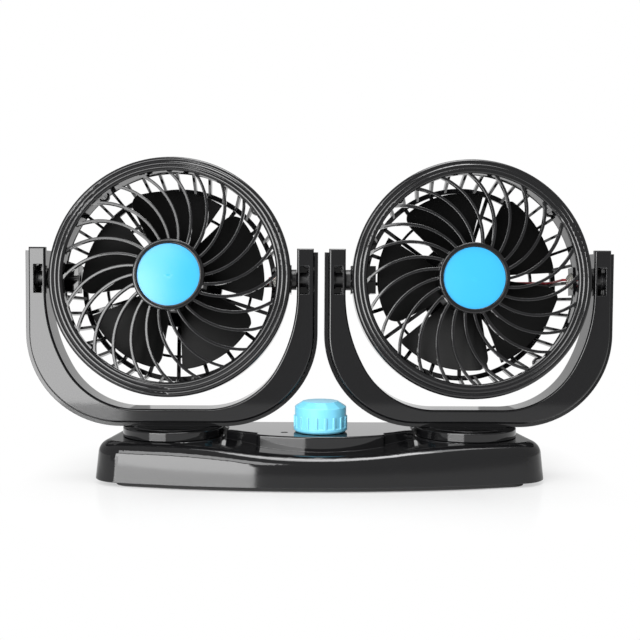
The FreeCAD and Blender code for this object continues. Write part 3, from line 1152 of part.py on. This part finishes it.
def cord_gland():
    body = new_body("cord_gland")
    turned(body, "gland", [("gland_bore", "base_rear - base_wall - gland_inside"),
                           ("gland_radius", "base_rear - base_wall - gland_inside"),
                           ("gland_radius", GLAND_SEAT), ("gland_flange", GLAND_SEAT),
                           ("gland_flange", f"{GLAND_SEAT} + gland_flange_width"),
                           ("gland_bore", f"{GLAND_SEAT} + gland_flange_width")])
    return body


# Leads under the deck: from the switch along the bottom plate and up the middle of each swivel.
def switch_leads():
    leads = []
    low = size(f"{PLATE_TOP} + base_lead_radius + base_lead_gap")
    back = -size("knob_setback")
    for name, sign in (("left", -1), ("right", 1)):
        start = sign*size("switch_width")/4
        end = sign*size(SWIVEL_X)
        points = [FreeCAD.Vector(start, back, size(f"{SWITCH_TOP} - switch_height")),
                  FreeCAD.Vector(start, back, low), FreeCAD.Vector(end, 0, low),
                  FreeCAD.Vector(end, 0, size("base_lead_top"))]
        bend = size("base_lead_bend")
        leads.append(tube(f"{name}_base_lead", points, [bend, bend], size("base_lead_radius")))
    group = doc.addObject("Part::Compound", "switch_leads")
    group.Links = leads
    return group


nodes = {}


def keep(piece, label, place=("0", "0", "0"), turn="rotationx(0)"):
    """Names a piece as a node and sets it in place."""
    piece.Label = label
    piece.setExpression("Placement", bound(f"placement(vector({'; '.join(place)}); {turn})"))
    nodes[label] = piece


def keep_copy(master, label, *placing):
    """A copy of a master piece, kept as a node of its own."""
    copy = new_body(label)
    copy.BaseFeature = master
    keep(copy, label, *placing)


fixing_places = circle_places("fixing_circle", "fixing_count", "fixing_angle", "0", False)
cover_level = f"{COVER_SEAT} + cover_flange"
cover_places = circle_places("cover_screw_circle", "cover_screw_count", "90", cover_level, False)
retainer_places = circle_places("retainer_screw_circle", "retainer_screw_count", "90",
                                f"{SPIGOT_END} - retainer_thickness", True)
yoke_seat = f"{YOKE_HALF_DEPTH} - screw_head_height - screw_seat_gap"
yoke_places = [(x, yoke_seat, z) for x, z in YOKE_POSTS]
foot_level = f"{DISC_BOTTOM} + screw_head_height + screw_seat_gap"
foot_places = [("foot_screw_offset", "0", foot_level), ("-foot_screw_offset", "0", foot_level)]

HEAD = {
    "front_grille": front_grille(),
    "badge": badge(),
    "rear_basket": rear_basket(),
    "pivot_stub_left": pivot_stub("left", "-"),
    "pivot_stub_right": pivot_stub("right", ""),
    "motor_can": motor_can(),
    "motor_end_cap": motor_end_cap(),
    "motor_cover": motor_cover(),
    "motor_cover_screws": screws("cover_screws", cover_places, "-Y", "cover_screw_length"),
    "grille_screws": screws("grille_screws", fixing_places, "-Y", "grille_screw_length"),
    "motor_lead_red": motor_lead("lead_red_master", size("lead_offset")),
    "motor_lead_black": motor_lead("lead_black_master", -size("lead_offset")),
    "lead_glue": lead_glue(),
}
ROTOR = {
    "impeller": impeller(),
    "motor_shaft": motor_shaft(),
}
YOKE = {
    "yoke_front": yoke_front(),
    "yoke_rear": yoke_rear(),
    "yoke_screws": screws("yoke_screws", yoke_places, "-Y", "yoke_screw_length"),
    "yoke_lead": yoke_lead(),
}
SWIVEL = {
    "turntable": turntable(),
    "turntable_screws": screws("foot_screws", foot_places, "+Z", "foot_screw_length"),
    "swivel_retainer": swivel_retainer(),
    "retainer_screws": screws("retainer_screws", retainer_places, "+Z", "retainer_screw_length"),
    "swivel_washer": swivel_washer(),
}
for side, sign in (("left", "-"), ("right", "")):
    across = f"{sign}{SWIVEL_X}"
    pivot = (across, "0", "pivot_height")
    tilt = f"rotationx(-{side}_tilt)"
    for name, master in HEAD.items():
        keep_copy(master, f"{side}_{name}", pivot, tilt)
    for name, master in ROTOR.items():
        keep_copy(master, f"{side}_{name}", pivot, f"{tilt} * rotationy({side}_blade_turn)")
    for name, master in YOKE.items():
        keep_copy(master, f"{side}_{name}", pivot)
    for name, master in SWIVEL.items():
        keep_copy(master, f"{side}_{name}", (across, "0", "0"))

at_knob = ("0", "-knob_setback", "0")
base_screw_level = "base_bottom + screw_head_height + post_gap"
base_places = [(x, y, base_screw_level) for x, y in BASE_POSTS]
keep(base_top(), "base_top")
keep(base_bottom(), "base_bottom")
keep(adhesive_pad(), "adhesive_pad")
keep(screws("base_screws", base_places, "+Z", "base_screw_length"), "base_screws")
keep(rotary_switch(), "rotary_switch", at_knob)
keep(switch_nut(), "switch_nut", at_knob)
keep(switch_shaft(), "switch_shaft", at_knob)
keep(knob(), "knob", at_knob)
keep(switch_leads(), "switch_leads")
keep(cord_gland(), "cord_gland", ("0", "0", "gland_height"))
keep(indicator_led(), "indicator_led", ("-indicator_offset", "-indicator_setback", "0"))
doc.recompute()

for item in doc.Objects:
    if "Invalid" in item.State or "Error" in item.State:
        raise RuntimeError(f"{item.Name} failed: {item.State}")
for label, piece in nodes.items():
    if piece.Shape.isNull() or not piece.Shape.isValid() or not piece.Shape.Solids:
        raise RuntimeError(label + " has no sound solid")

os.makedirs("parts", exist_ok=True)
for label, piece in nodes.items():
    piece.Shape.exportStep(f"parts/{label}.step")
print(len(nodes), "nodes,", sum(len(piece.Shape.Solids) for piece in nodes.values()), "solids")
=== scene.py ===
# %% [markdown]
# # A twin-head dashboard fan
# This lesson dresses a finished mechanical model: two caged fan heads in U-shaped yokes, on one
# long base. Every solid already stands in its right place, so what is left to learn is how gloss
# black plastic, blue enamel, steel, wire and foam are told apart by their surfaces, and how a
# studio shows black on white.

# %% Load the mechanical model
import bpy
import json
import math
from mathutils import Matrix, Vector


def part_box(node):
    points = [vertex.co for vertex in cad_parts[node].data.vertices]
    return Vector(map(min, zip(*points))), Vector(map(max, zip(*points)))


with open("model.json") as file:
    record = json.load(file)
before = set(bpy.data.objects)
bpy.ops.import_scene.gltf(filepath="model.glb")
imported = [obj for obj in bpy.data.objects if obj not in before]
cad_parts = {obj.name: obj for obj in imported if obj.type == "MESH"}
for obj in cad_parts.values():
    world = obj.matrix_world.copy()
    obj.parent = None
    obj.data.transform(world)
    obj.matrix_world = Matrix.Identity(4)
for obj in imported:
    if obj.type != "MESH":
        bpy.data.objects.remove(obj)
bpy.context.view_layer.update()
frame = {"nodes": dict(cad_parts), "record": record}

nodes = frame["nodes"]
record = frame["record"]

# %% [markdown]
# ## Camera
# The picture was taken from about half a metre in front, level with the pivots, with a lens of
# medium length. The lens follows from the frame: the focal length in pixels over the picture's
# width, times the sensor's width. The camera stands a hair left of the middle, looks slightly down
# and back to the right, and is rolled by a third of a degree.

# %% Camera at the picture's viewing angle
PICTURE_WIDTH = 640
FOCAL_PIXELS = 968
SENSOR = 36
CAMERA_PLACE = (-0.008756, -0.449545, 0.093056)
LOOK_DOWN, ROLL, TURN = 2.668, -0.357, -1.052  # degrees

camera_data = bpy.data.cameras.new("picture_camera")
camera_data.sensor_width = SENSOR
camera_data.lens = FOCAL_PIXELS/PICTURE_WIDTH*SENSOR
camera = bpy.data.objects.new("picture_camera", camera_data)
bpy.context.collection.objects.link(camera)
camera.location = CAMERA_PLACE
camera.rotation_mode = "XYZ"
camera.rotation_euler = [math.radians(angle) for angle in (90 - LOOK_DOWN, ROLL, TURN)]
bpy.context.scene.camera = camera
bpy.context.scene.view_settings.view_transform = "Standard"
print("lens", round(camera_data.lens, 1), "mm")

# %% [markdown]
# ## Small helpers for shader nodes
# A material is a small network of nodes. Each input of a node either holds a plain value or is
# joined to another node's output. A few helpers hide that difference, so a later line says what is
# calculated rather than which sockets are joined.

# %% Helpers that add a node and feed its inputs
def feed_socket(tree, socket, source):
    """Join a socket to another node's output, or give it a plain value."""
    if isinstance(source, bpy.types.NodeSocket):
        tree.links.new(source, socket)
    else:
        socket.default_value = source


def feed(tree, node, **inputs):
    """Feed inputs by their names; an underscore stands for a space."""
    for name, source in inputs.items():
        feed_socket(tree, node.inputs[name.replace("_", " ")], source)


def add_node(tree, kind, at, **inputs):
    """A new node at a place in the node editor, with some inputs fed."""
    node = tree.nodes.new(kind)
    node.location = at
    feed(tree, node, **inputs)
    return node


# %% Helpers that calculate
VECTOR_MATH = "ShaderNodeVectorMath"


def calculate(tree, operation, at, *sources, kind="ShaderNodeMath", result="Value"):
    """A Math or Vector Math node, with its inputs fed in their order."""
    node = add_node(tree, kind, at)
    node.operation = operation
    for socket, source in zip(node.inputs, sources):
        feed_socket(tree, socket, source)
    return node.outputs[result]


def map_range(tree, at, value, low, high, to_low=0.0, to_high=1.0):
    return add_node(tree, "ShaderNodeMapRange", at, Value=value, From_Min=low, From_Max=high,
                    To_Min=to_low, To_Max=to_high).outputs["Result"]


def mix(tree, data_type, at, share, first, second):
    node = add_node(tree, "ShaderNodeMix", at)
    node.data_type = data_type
    feed(tree, node, Factor=share, A=first, B=second)
    return node.outputs["Result"]


def noise(tree, at, place, scale, detail, roughness=0.5):
    return add_node(tree, "ShaderNodeTexNoise", at, Vector=place, Scale=scale, Detail=detail,
                    Roughness=roughness).outputs["Fac"]


# %% Helpers that make and use groups
COLOUR, NUMBER = "NodeSocketColor", "NodeSocketFloat"


def new_group(name, given, made):
    """An empty shader group with named sockets: the group, its inputs and its end node."""
    group = bpy.data.node_groups.new(name, "ShaderNodeTree")
    for sockets, side in ((given, "INPUT"), (made, "OUTPUT")):
        for label, kind in sockets.items():
            group.interface.new_socket(label, in_out=side, socket_type=kind)
    start = add_node(group, "NodeGroupInput", (-900, 0))
    end = add_node(group, "NodeGroupOutput", (700, 0))
    return group, start.outputs, end


def use_group(tree, group, at, **inputs):
    node = add_node(tree, "ShaderNodeGroup", at)
    node.node_tree = group
    feed(tree, node, **inputs)
    return node.outputs


# %% [markdown]
# ## Moulded plastic
# Injection-moulded gloss plastic is never a perfect mirror. The skin has a faint waviness from
# shrinkage, a much finer orange peel from the tool, and patches where handling has dulled it. All
# three depend on place alone, so they fit in one group that each plastic uses with its own values.

# %% Group: skin of moulded plastic
WAVE_SCALE = 45
PEEL_SHARE = 0.12


def moulded_skin():
    group, given, end = new_group(
        "moulded_skin",
        {"Colour": COLOUR, "Second Colour": COLOUR, "Gloss": NUMBER, "Dulling": NUMBER,
         "Patch Scale": NUMBER, "Peel Scale": NUMBER},
        {"Colour": COLOUR, "Roughness": NUMBER, "Height": NUMBER})
    place = add_node(group, "ShaderNodeTexCoord", (-900, -300)).outputs["Object"]
    patches = noise(group, (-600, 200), place, given["Patch Scale"], detail=4, roughness=0.6)
    peel = noise(group, (-600, -200), place, given["Peel Scale"], detail=2)
    wave = noise(group, (-600, -500), place, WAVE_SCALE, detail=1)
    colour = mix(group, "RGBA", (-200, 300), patches, given["Colour"], given["Second Colour"])
    dull = calculate(group, "MULTIPLY_ADD", (-200, 50), patches, given["Dulling"], given["Gloss"])
    height = calculate(group, "MULTIPLY_ADD", (-200, -300), peel, PEEL_SHARE, wave)
    feed(group, end, Colour=colour, Roughness=dull, Height=height)
    return group


SKIN = moulded_skin()
print("group", SKIN.name, "with", len(SKIN.nodes), "nodes")

# %% [markdown]
# ## Painted edge highlight and settled dust
# Sharp edges get a lighter colour, a painted highlight that stands in for the sheen light leaves
# on them, and fine dust lies on what faces up. Both could be painted by hand, but masks that read
# the solids follow every later change of them. One compares the true normal with a rounded one,
# the other reads how far a face looks up, broken up by noise.

# %% Group: painted edge highlight and dust
EDGE_RADIUS = 0.0006
EDGE_SAMPLES = 4
FULL_EDGE = 0.8  # the two normals' product where an edge shows in full
DUST_SLOPE = 0.6  # the upward part of a normal from which dust stays
SPECK_SCALE = 900
DUST_COLOUR = (0.35, 0.34, 0.33, 1)


def painted_edge_sheen_and_dust():
    group, given, end = new_group(
        "painted_edge_sheen_and_dust",
        {"Colour": COLOUR, "Edge Colour": COLOUR, "Edge Amount": NUMBER, "Dust Amount": NUMBER},
        {"Colour": COLOUR})
    facing = add_node(group, "ShaderNodeNewGeometry", (-900, -250)).outputs["Normal"]
    rounding = add_node(group, "ShaderNodeBevel", (-900, -550), Radius=EDGE_RADIUS)
    rounding.samples = EDGE_SAMPLES
    match = calculate(group, "DOT_PRODUCT", (-650, -350), facing, rounding.outputs["Normal"],
                      kind=VECTOR_MATH)
    # painted highlight: this edge mask lightens the colour along sharp edges
    edge_sheen = map_range(group, (-420, -350), match, 1.0, FULL_EDGE)
    amount = calculate(group, "MULTIPLY", (-200, -350), edge_sheen, given["Edge Amount"])
    shine = mix(group, "RGBA", (0, 100), amount, given["Colour"], given["Edge Colour"])
    up = add_node(group, "ShaderNodeSeparateXYZ", (-650, 350), Vector=facing).outputs["Z"]
    place = add_node(group, "ShaderNodeTexCoord", (-900, 550)).outputs["Object"]
    specks = noise(group, (-650, 550), place, SPECK_SCALE, detail=3)
    lying = map_range(group, (-420, 350), up, DUST_SLOPE, 1.0)
    dust = calculate(group, "MULTIPLY", (-200, 450), lying, specks)
    film = calculate(group, "MULTIPLY", (0, 450), dust, given["Dust Amount"])
    feed(group, end, Colour=mix(group, "RGBA", (300, 200), film, shine, DUST_COLOUR))
    return group


EDGE_SHEEN_AND_DUST = painted_edge_sheen_and_dust()
print("group", EDGE_SHEEN_AND_DUST.name, "with", len(EDGE_SHEEN_AND_DUST.nodes), "nodes")

# %% [markdown]
# ## One recipe for all plastics
# Each plastic is the two groups, a bump and one shader. Constants such as the index of refraction
# are set on the shader itself. The mould softens every hard edge by a fraction of a millimetre. A
# bevel on the mesh would show that too, but it would change the solids, so a rounded normal under
# the bump does it here.

# %% Recipe: plastic from the two groups
PLASTIC_IOR = 1.5
PLASTIC_RELIEF = 0.0004
SOFTEN_SAMPLES = 8


def new_material(name):
    """A new material, its network and its shader."""
    material = bpy.data.materials.new(name)
    material.use_nodes = True
    return material, material.node_tree, material.node_tree.nodes["Principled BSDF"]


def plastic(name, colour, second, gloss, dulling, patch=18.0, peel=900.0, bump=0.05,
            edge_sheen=(0.08, 0.08, 0.085), edge_sheen_amount=0.2, dust=0.006, soften=0.0005, shine=0.5):
    material, tree, shader = new_material(name)
    skin = use_group(tree, SKIN, (-700, 200), Colour=(*colour, 1), Second_Colour=(*second, 1),
                     Gloss=gloss, Dulling=dulling, Patch_Scale=patch, Peel_Scale=peel)
    # the edge colour is a painted highlight along sharp edges
    edges = use_group(tree, EDGE_SHEEN_AND_DUST, (-400, 200), Colour=skin["Colour"], Edge_Colour=(*edge_sheen, 1),
                      Edge_Amount=edge_sheen_amount, Dust_Amount=dust)
    rounding = add_node(tree, "ShaderNodeBevel", (-500, -350), Radius=soften)
    rounding.samples = SOFTEN_SAMPLES
    relief = add_node(tree, "ShaderNodeBump", (-250, -200), Strength=bump, Distance=PLASTIC_RELIEF,
                      Height=skin["Height"], Normal=rounding.outputs["Normal"])
    feed(tree, shader, Base_Color=edges["Colour"], Roughness=skin["Roughness"],
         Normal=relief.outputs["Normal"], IOR=PLASTIC_IOR, Specular_IOR_Level=shine)
    return material


# %% [markdown]
# ## The plastics
# The housings are gloss black. Blades and pivots are the same black with a duller skin, badges and
# knob are two light blues, and the leads, the gland, the foam pad and the fibre washers are rougher
# and show more relief. Pictures of such surfaces would need unwrapped meshes. Here each finish has
# two close colours that the patches blend, and a row of values in one table.

# %% Finishes of plastic
BLACK = {"colour": (0.004, 0.004, 0.0045), "second": (0.006, 0.006, 0.0065)}


def grey(level):
    return (level, level, level)


# each edge colour below is a painted highlight along sharp edges
PLASTICS = {
    "gloss_black": dict(**BLACK, gloss=0.03, dulling=0.06, bump=0.008, soften=0.0003),
    "blade_black": dict(colour=grey(0.0025), second=grey(0.004), gloss=0.34, dulling=0.12,
                        patch=30, edge_sheen=grey(0.02), shine=0.1),
    "pivot_black": dict(colour=(0.006, 0.006, 0.0065), second=(0.009, 0.009, 0.0095),
                        gloss=0.30, dulling=0.08, patch=60),
    "matte_black": dict(colour=(0.010, 0.010, 0.011), second=(0.016, 0.016, 0.017),
                        gloss=0.45, dulling=0.15, bump=0.15),
    "badge_blue": dict(colour=(0.026, 0.34, 0.68), second=(0.034, 0.365, 0.70),
                       gloss=0.22, dulling=0.08, patch=60, edge_sheen=(0.3, 0.75, 0.92), dust=0.0,
                       bump=0.01, soften=0.0001),
    "knob_blue": dict(colour=(0.17, 0.57, 0.79), second=(0.19, 0.60, 0.81),
                      gloss=0.30, dulling=0.10, patch=80, edge_sheen=(0.4, 0.78, 0.92),
                      edge_sheen_amount=0.5, dust=0.01, shine=0.25),
    "lead_red": dict(colour=(0.24, 0.008, 0.014), second=(0.30, 0.012, 0.02),
                     gloss=0.4, dulling=0.15, edge_sheen=(0.4, 0.06, 0.06)),
    "lead_black": dict(colour=grey(0.014), second=grey(0.02), gloss=0.42, dulling=0.15),
    "indicator_lens": dict(colour=grey(0.002), second=grey(0.003), gloss=0.3, dulling=0.05,
                           shine=0.2),
    "gland_rubber": dict(colour=grey(0.014), second=grey(0.022), gloss=0.6, dulling=0.15,
                         bump=0.3),
    "foam_black": dict(colour=grey(0.018), second=grey(0.03), gloss=0.85, dulling=0.1,
                       peel=2500, bump=0.8),
    "washer_fibre": dict(colour=(0.28, 0.16, 0.09), second=(0.36, 0.22, 0.13),
                         gloss=0.7, dulling=0.15, peel=1600, bump=0.4),
}
finishes = {name: plastic(name, **values) for name, values in PLASTICS.items()}
print(len(finishes), "plastics")

# %% [markdown]
# ## Steel
# Screws and the motor are plated steel, and the plating is slightly cloudy. The same skin group
# serves here with much finer patches: they vary the roughness, a little relief and, by a shade, the
# tone of the metal.

# %% Recipe: plated steel
STEEL_PATCH, STEEL_PEEL = 150, 3000
STEEL_BUMP, STEEL_RELIEF = 0.1, 0.0002


def steel(name, colour, second, gloss, dulling):
    material, tree, shader = new_material(name)
    skin = use_group(tree, SKIN, (-700, 200), Colour=(*colour, 1), Second_Colour=(*second, 1),
                     Gloss=gloss, Dulling=dulling, Patch_Scale=STEEL_PATCH, Peel_Scale=STEEL_PEEL)
    relief = add_node(tree, "ShaderNodeBump", (-250, -200), Strength=STEEL_BUMP,
                      Distance=STEEL_RELIEF, Height=skin["Height"])
    feed(tree, shader, Base_Color=skin["Colour"], Roughness=skin["Roughness"],
         Normal=relief.outputs["Normal"], Metallic=1)
    return material


finishes["motor_steel"] = steel("motor_steel", grey(0.55), (0.62, 0.62, 0.61), gloss=0.25,
                                dulling=0.2)
finishes["screw_steel"] = steel("screw_steel", grey(0.09), grey(0.13), gloss=0.3, dulling=0.2)
print("steels made")

# %% [markdown]
# ## Hot-melt glue
# The dab that holds the leads is very smooth and most light passes through it. It could be plain
# glass, but the real dab is milky, so a quarter of the shader stays opaque and cloudy.

# %% Recipe: glue
GLUE_CLEARNESS = 0.75
GLUE_IOR = 1.48

# the glue's edge colour is a painted highlight along its sharp edges as well
glue = plastic("glue", (0.70, 0.69, 0.64), (0.80, 0.79, 0.75), gloss=0.12, dulling=0.1, patch=300,
               dust=0, edge_sheen=(0.8, 0.8, 0.78))
feed(glue.node_tree, glue.node_tree.nodes["Principled BSDF"], Transmission_Weight=GLUE_CLEARNESS,
     IOR=GLUE_IOR)
finishes["glue"] = glue
print("glue made")

# %% [markdown]
# ## Spokes with a round front
# The thin spokes of the grille are round at the front, so each shows one narrow bright line with
# dark flanks. The solids have flat fronts there, and a wide rounded normal makes up for it in the
# shading. The ring round the spokes has true ridges of its own and needs none, so the distance from
# the head's axis, in the grille's own coordinates, decides where the rounded normal is used.

# %% Recipe: grille with rounded spokes
SPOKE_ZONE = 0.0465
ACROSS_AXIS = (1, 0, 1)  # drops the part of a place that lies along the axis


def grille_finish(label):
    piece = nodes[label]
    low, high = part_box(label)
    middle = piece.matrix_world.inverted() @ ((Vector(low) + Vector(high))/2)
    material = plastic(label, **BLACK, gloss=0.05, dulling=0.05, bump=0.004, soften=0.0007)
    tree = material.node_tree
    place = add_node(tree, "ShaderNodeTexCoord", (-1300, -500)).outputs["Object"]
    flat = calculate(tree, "MULTIPLY", (-1100, -500), place, ACROSS_AXIS, kind=VECTOR_MATH,
                     result="Vector")
    away = calculate(tree, "DISTANCE", (-900, -500), flat, (middle.x, 0, middle.z),
                     kind=VECTOR_MATH)
    inside = calculate(tree, "LESS_THAN", (-700, -500), away, SPOKE_ZONE)
    true_face = add_node(tree, "ShaderNodeNewGeometry", (-700, -700)).outputs["Normal"]
    rounded = tree.nodes["Bevel"].outputs["Normal"]
    chosen = mix(tree, "VECTOR", (-400, -500), inside, true_face, rounded)
    feed(tree, tree.nodes["Bump"], Normal=chosen)
    return material


own_finish = {label: grille_finish(label) for label in ("left_front_grille", "right_front_grille")}
print("finishes for", len(own_finish), "grilles")

# %% [markdown]
# ## Dressing the nodes
# Each node wears the finish of its slot. Grilles and pivots are the exceptions. The pivots rub in
# the yoke, so their skin is duller than the gloss around them, and the light spreads softly over
# the barrel in the window of the arm.

# %% Give each node its finish
for label in nodes:
    if "pivot_stub" in label:
        own_finish[label] = finishes["pivot_black"]
for entry in record["subparts"]:
    piece = nodes[entry["node"]]
    piece.data.materials.clear()
    piece.data.materials.append(own_finish.get(entry["node"], finishes[entry["material_slot"]]))
print("dressed", len(record["subparts"]), "nodes")

# %% [markdown]
# ## Floor and card
# The floor has to be white in the picture and still hold the soft shadow under the part. So it
# glows for the camera alone, fully at some distance and only a little right under the part, where
# the true shading shows. The weaker glow near the part also darkens the floor there as painted
# shade, on top of the true shadow. A white card behind is what the level top of the base mirrors.

# %% White floor that keeps a soft contact shadow, with painted shade near the part
WHITE = (1, 1, 1, 1)
FLOOR_WHITE = (0.92, 0.92, 0.92, 1)
FLOOR_ROUGHNESS = 0.15
FLOOR_CORE = (0.06, 0.045, 0.01)  # half sizes of the box from which distance counts
FULL_GLOW_AT = 0.075
CORE_GLOW = 0.14


def floor_finish():
    material, tree, shader = new_material("studio_floor")
    feed(tree, shader, Base_Color=FLOOR_WHITE, Roughness=FLOOR_ROUGHNESS)
    reach = add_node(tree, "ShaderNodeNewGeometry", (-800, 0)).outputs["Position"]
    for operation, *against in (("ABSOLUTE",), ("SUBTRACT", FLOOR_CORE), ("MAXIMUM", (0, 0, 0))):
        reach = calculate(tree, operation, (-700, 0), reach, *against, kind=VECTOR_MATH,
                          result="Vector")
    away = calculate(tree, "LENGTH", (-550, 0), reach, kind=VECTOR_MATH)
    # painted shade: the glow drops towards the part, so the floor is darker near it even where no
    # shadow falls
    share = map_range(tree, (-400, 0), away, 0.0, FULL_GLOW_AT, CORE_GLOW, 1.0)
    eye = add_node(tree, "ShaderNodeLightPath", (-400, 300)).outputs["Is Camera Ray"]
    seen = calculate(tree, "MULTIPLY", (-200, 300), eye, share)
    glow = add_node(tree, "ShaderNodeEmission", (0, -300), Color=WHITE, Strength=1)
    mixed = add_node(tree, "ShaderNodeMixShader", (250, 0), Fac=seen)
    feed_socket(tree, mixed.inputs[1], shader.outputs["BSDF"])
    feed_socket(tree, mixed.inputs[2], glow.outputs["Emission"])
    feed(tree, tree.nodes["Material Output"], Surface=mixed.outputs["Shader"])
    return material


def sheet(name, corners, material):
    """A flat stage piece from its four corners."""
    mesh = bpy.data.meshes.new(name)
    mesh.from_pydata(corners, [], [(0, 1, 2, 3)])
    mesh.materials.append(material)
    piece = bpy.data.objects.new(name, mesh)
    bpy.context.collection.objects.link(piece)


FLOOR_FRONT, FLOOR_BACK, FLOOR_SIDE, FLOOR_LEVEL = -0.26, 3.0, 3.0, -0.0002
floor_outline = [(-FLOOR_SIDE, FLOOR_FRONT), (FLOOR_SIDE, FLOOR_FRONT), (FLOOR_SIDE, FLOOR_BACK),
                 (-FLOOR_SIDE, FLOOR_BACK)]
sheet("studio_floor", [(x, y, FLOOR_LEVEL) for x, y in floor_outline], floor_finish())
print("floor laid")

# %% White card behind, for the level surfaces
CARD_LEFT, CARD_RIGHT, CARD_TOP, CARD_BACK = -0.22, 0.24, 0.5, 0.9

card_white, card_tree, _ = new_material("card_white")
card_glow = add_node(card_tree, "ShaderNodeEmission", (0, 0), Color=WHITE, Strength=1)
feed(card_tree, card_tree.nodes["Material Output"], Surface=card_glow.outputs["Emission"])
sheet("studio_card", [(CARD_LEFT, CARD_BACK, 0.0), (CARD_RIGHT, CARD_BACK, 0.0),
                      (CARD_RIGHT, CARD_BACK, CARD_TOP), (CARD_LEFT, CARD_BACK, CARD_TOP)],
      card_white)
print("card set")

# %% [markdown]
# ## Room
# A gloss black object shows mostly what it mirrors. The surround is white to the eye and through
# the clear glue, so the picture has a white background, but dim to everything else, so whatever
# mirrors the room stays deep black. A white screen behind would do part of this, but a switch on
# the kind of ray works from every side.

# %% World: white to the eye and through the glue, dim to everything else
ROOM_LEVEL = 0.42

world = bpy.data.worlds.new("studio_surround")
bpy.context.scene.world = world
world.use_nodes = True
sky = world.node_tree
path = add_node(sky, "ShaderNodeLightPath", (-600, 200)).outputs
plain = calculate(sky, "MAXIMUM", (-450, 200), path["Is Camera Ray"], path["Is Transmission Ray"])
strength = map_range(sky, (-300, 200), plain, 0.0, 1.0, ROOM_LEVEL, 1.0)
feed(sky, sky.nodes["Background"], Color=WHITE, Strength=strength)
print("surround set")

# %% [markdown]
# ## Lamps
# A tall bright wall of light far out at the front left gives the left flanks one even pale sheet
# with crisp ends. One lamp above and one overhead light the upper edges and the floor, and a small
# one high over the middle lifts the top of the knob.

# %% Lamps
LAMPS = {
    "wall_of_light": dict(place=(-1.48, -2.47, 0.25), target=(0, 0, 0.25), wide=1.97, high=1.5,
                          brightness=10),
    "lamp_above": dict(place=(-0.55, -1.05, 0.80), target=(0, 0, 0.05), wide=0.9, high=0.5,
                       brightness=6),
    "lamp_overhead": dict(place=(0.1, 0.15, 1.1), target=(0, 0, 0.05), wide=0.8, high=0.5,
                          brightness=4),
    "lamp_knob": dict(place=(0.03, -0.06, 0.62), target=(0, 0, 0.04), wide=0.25, high=0.2,
                      brightness=9),
}


def soft_lamp(name, place, target, wide, high, brightness):
    """A rectangular lamp, given by how bright its face looks rather than by its power."""
    data = bpy.data.lights.new(name, "AREA")
    data.shape = "RECTANGLE"
    data.size = wide
    data.size_y = high
    data.energy = brightness*math.pi*wide*high
    lamp = bpy.data.objects.new(name, data)
    bpy.context.collection.objects.link(lamp)
    lamp.location = place
    lamp.rotation_euler = (Vector(target) - Vector(place)).to_track_quat("-Z", "Y").to_euler()


for name, values in LAMPS.items():
    soft_lamp(name, **values)
print(len(LAMPS), "lamps hung")
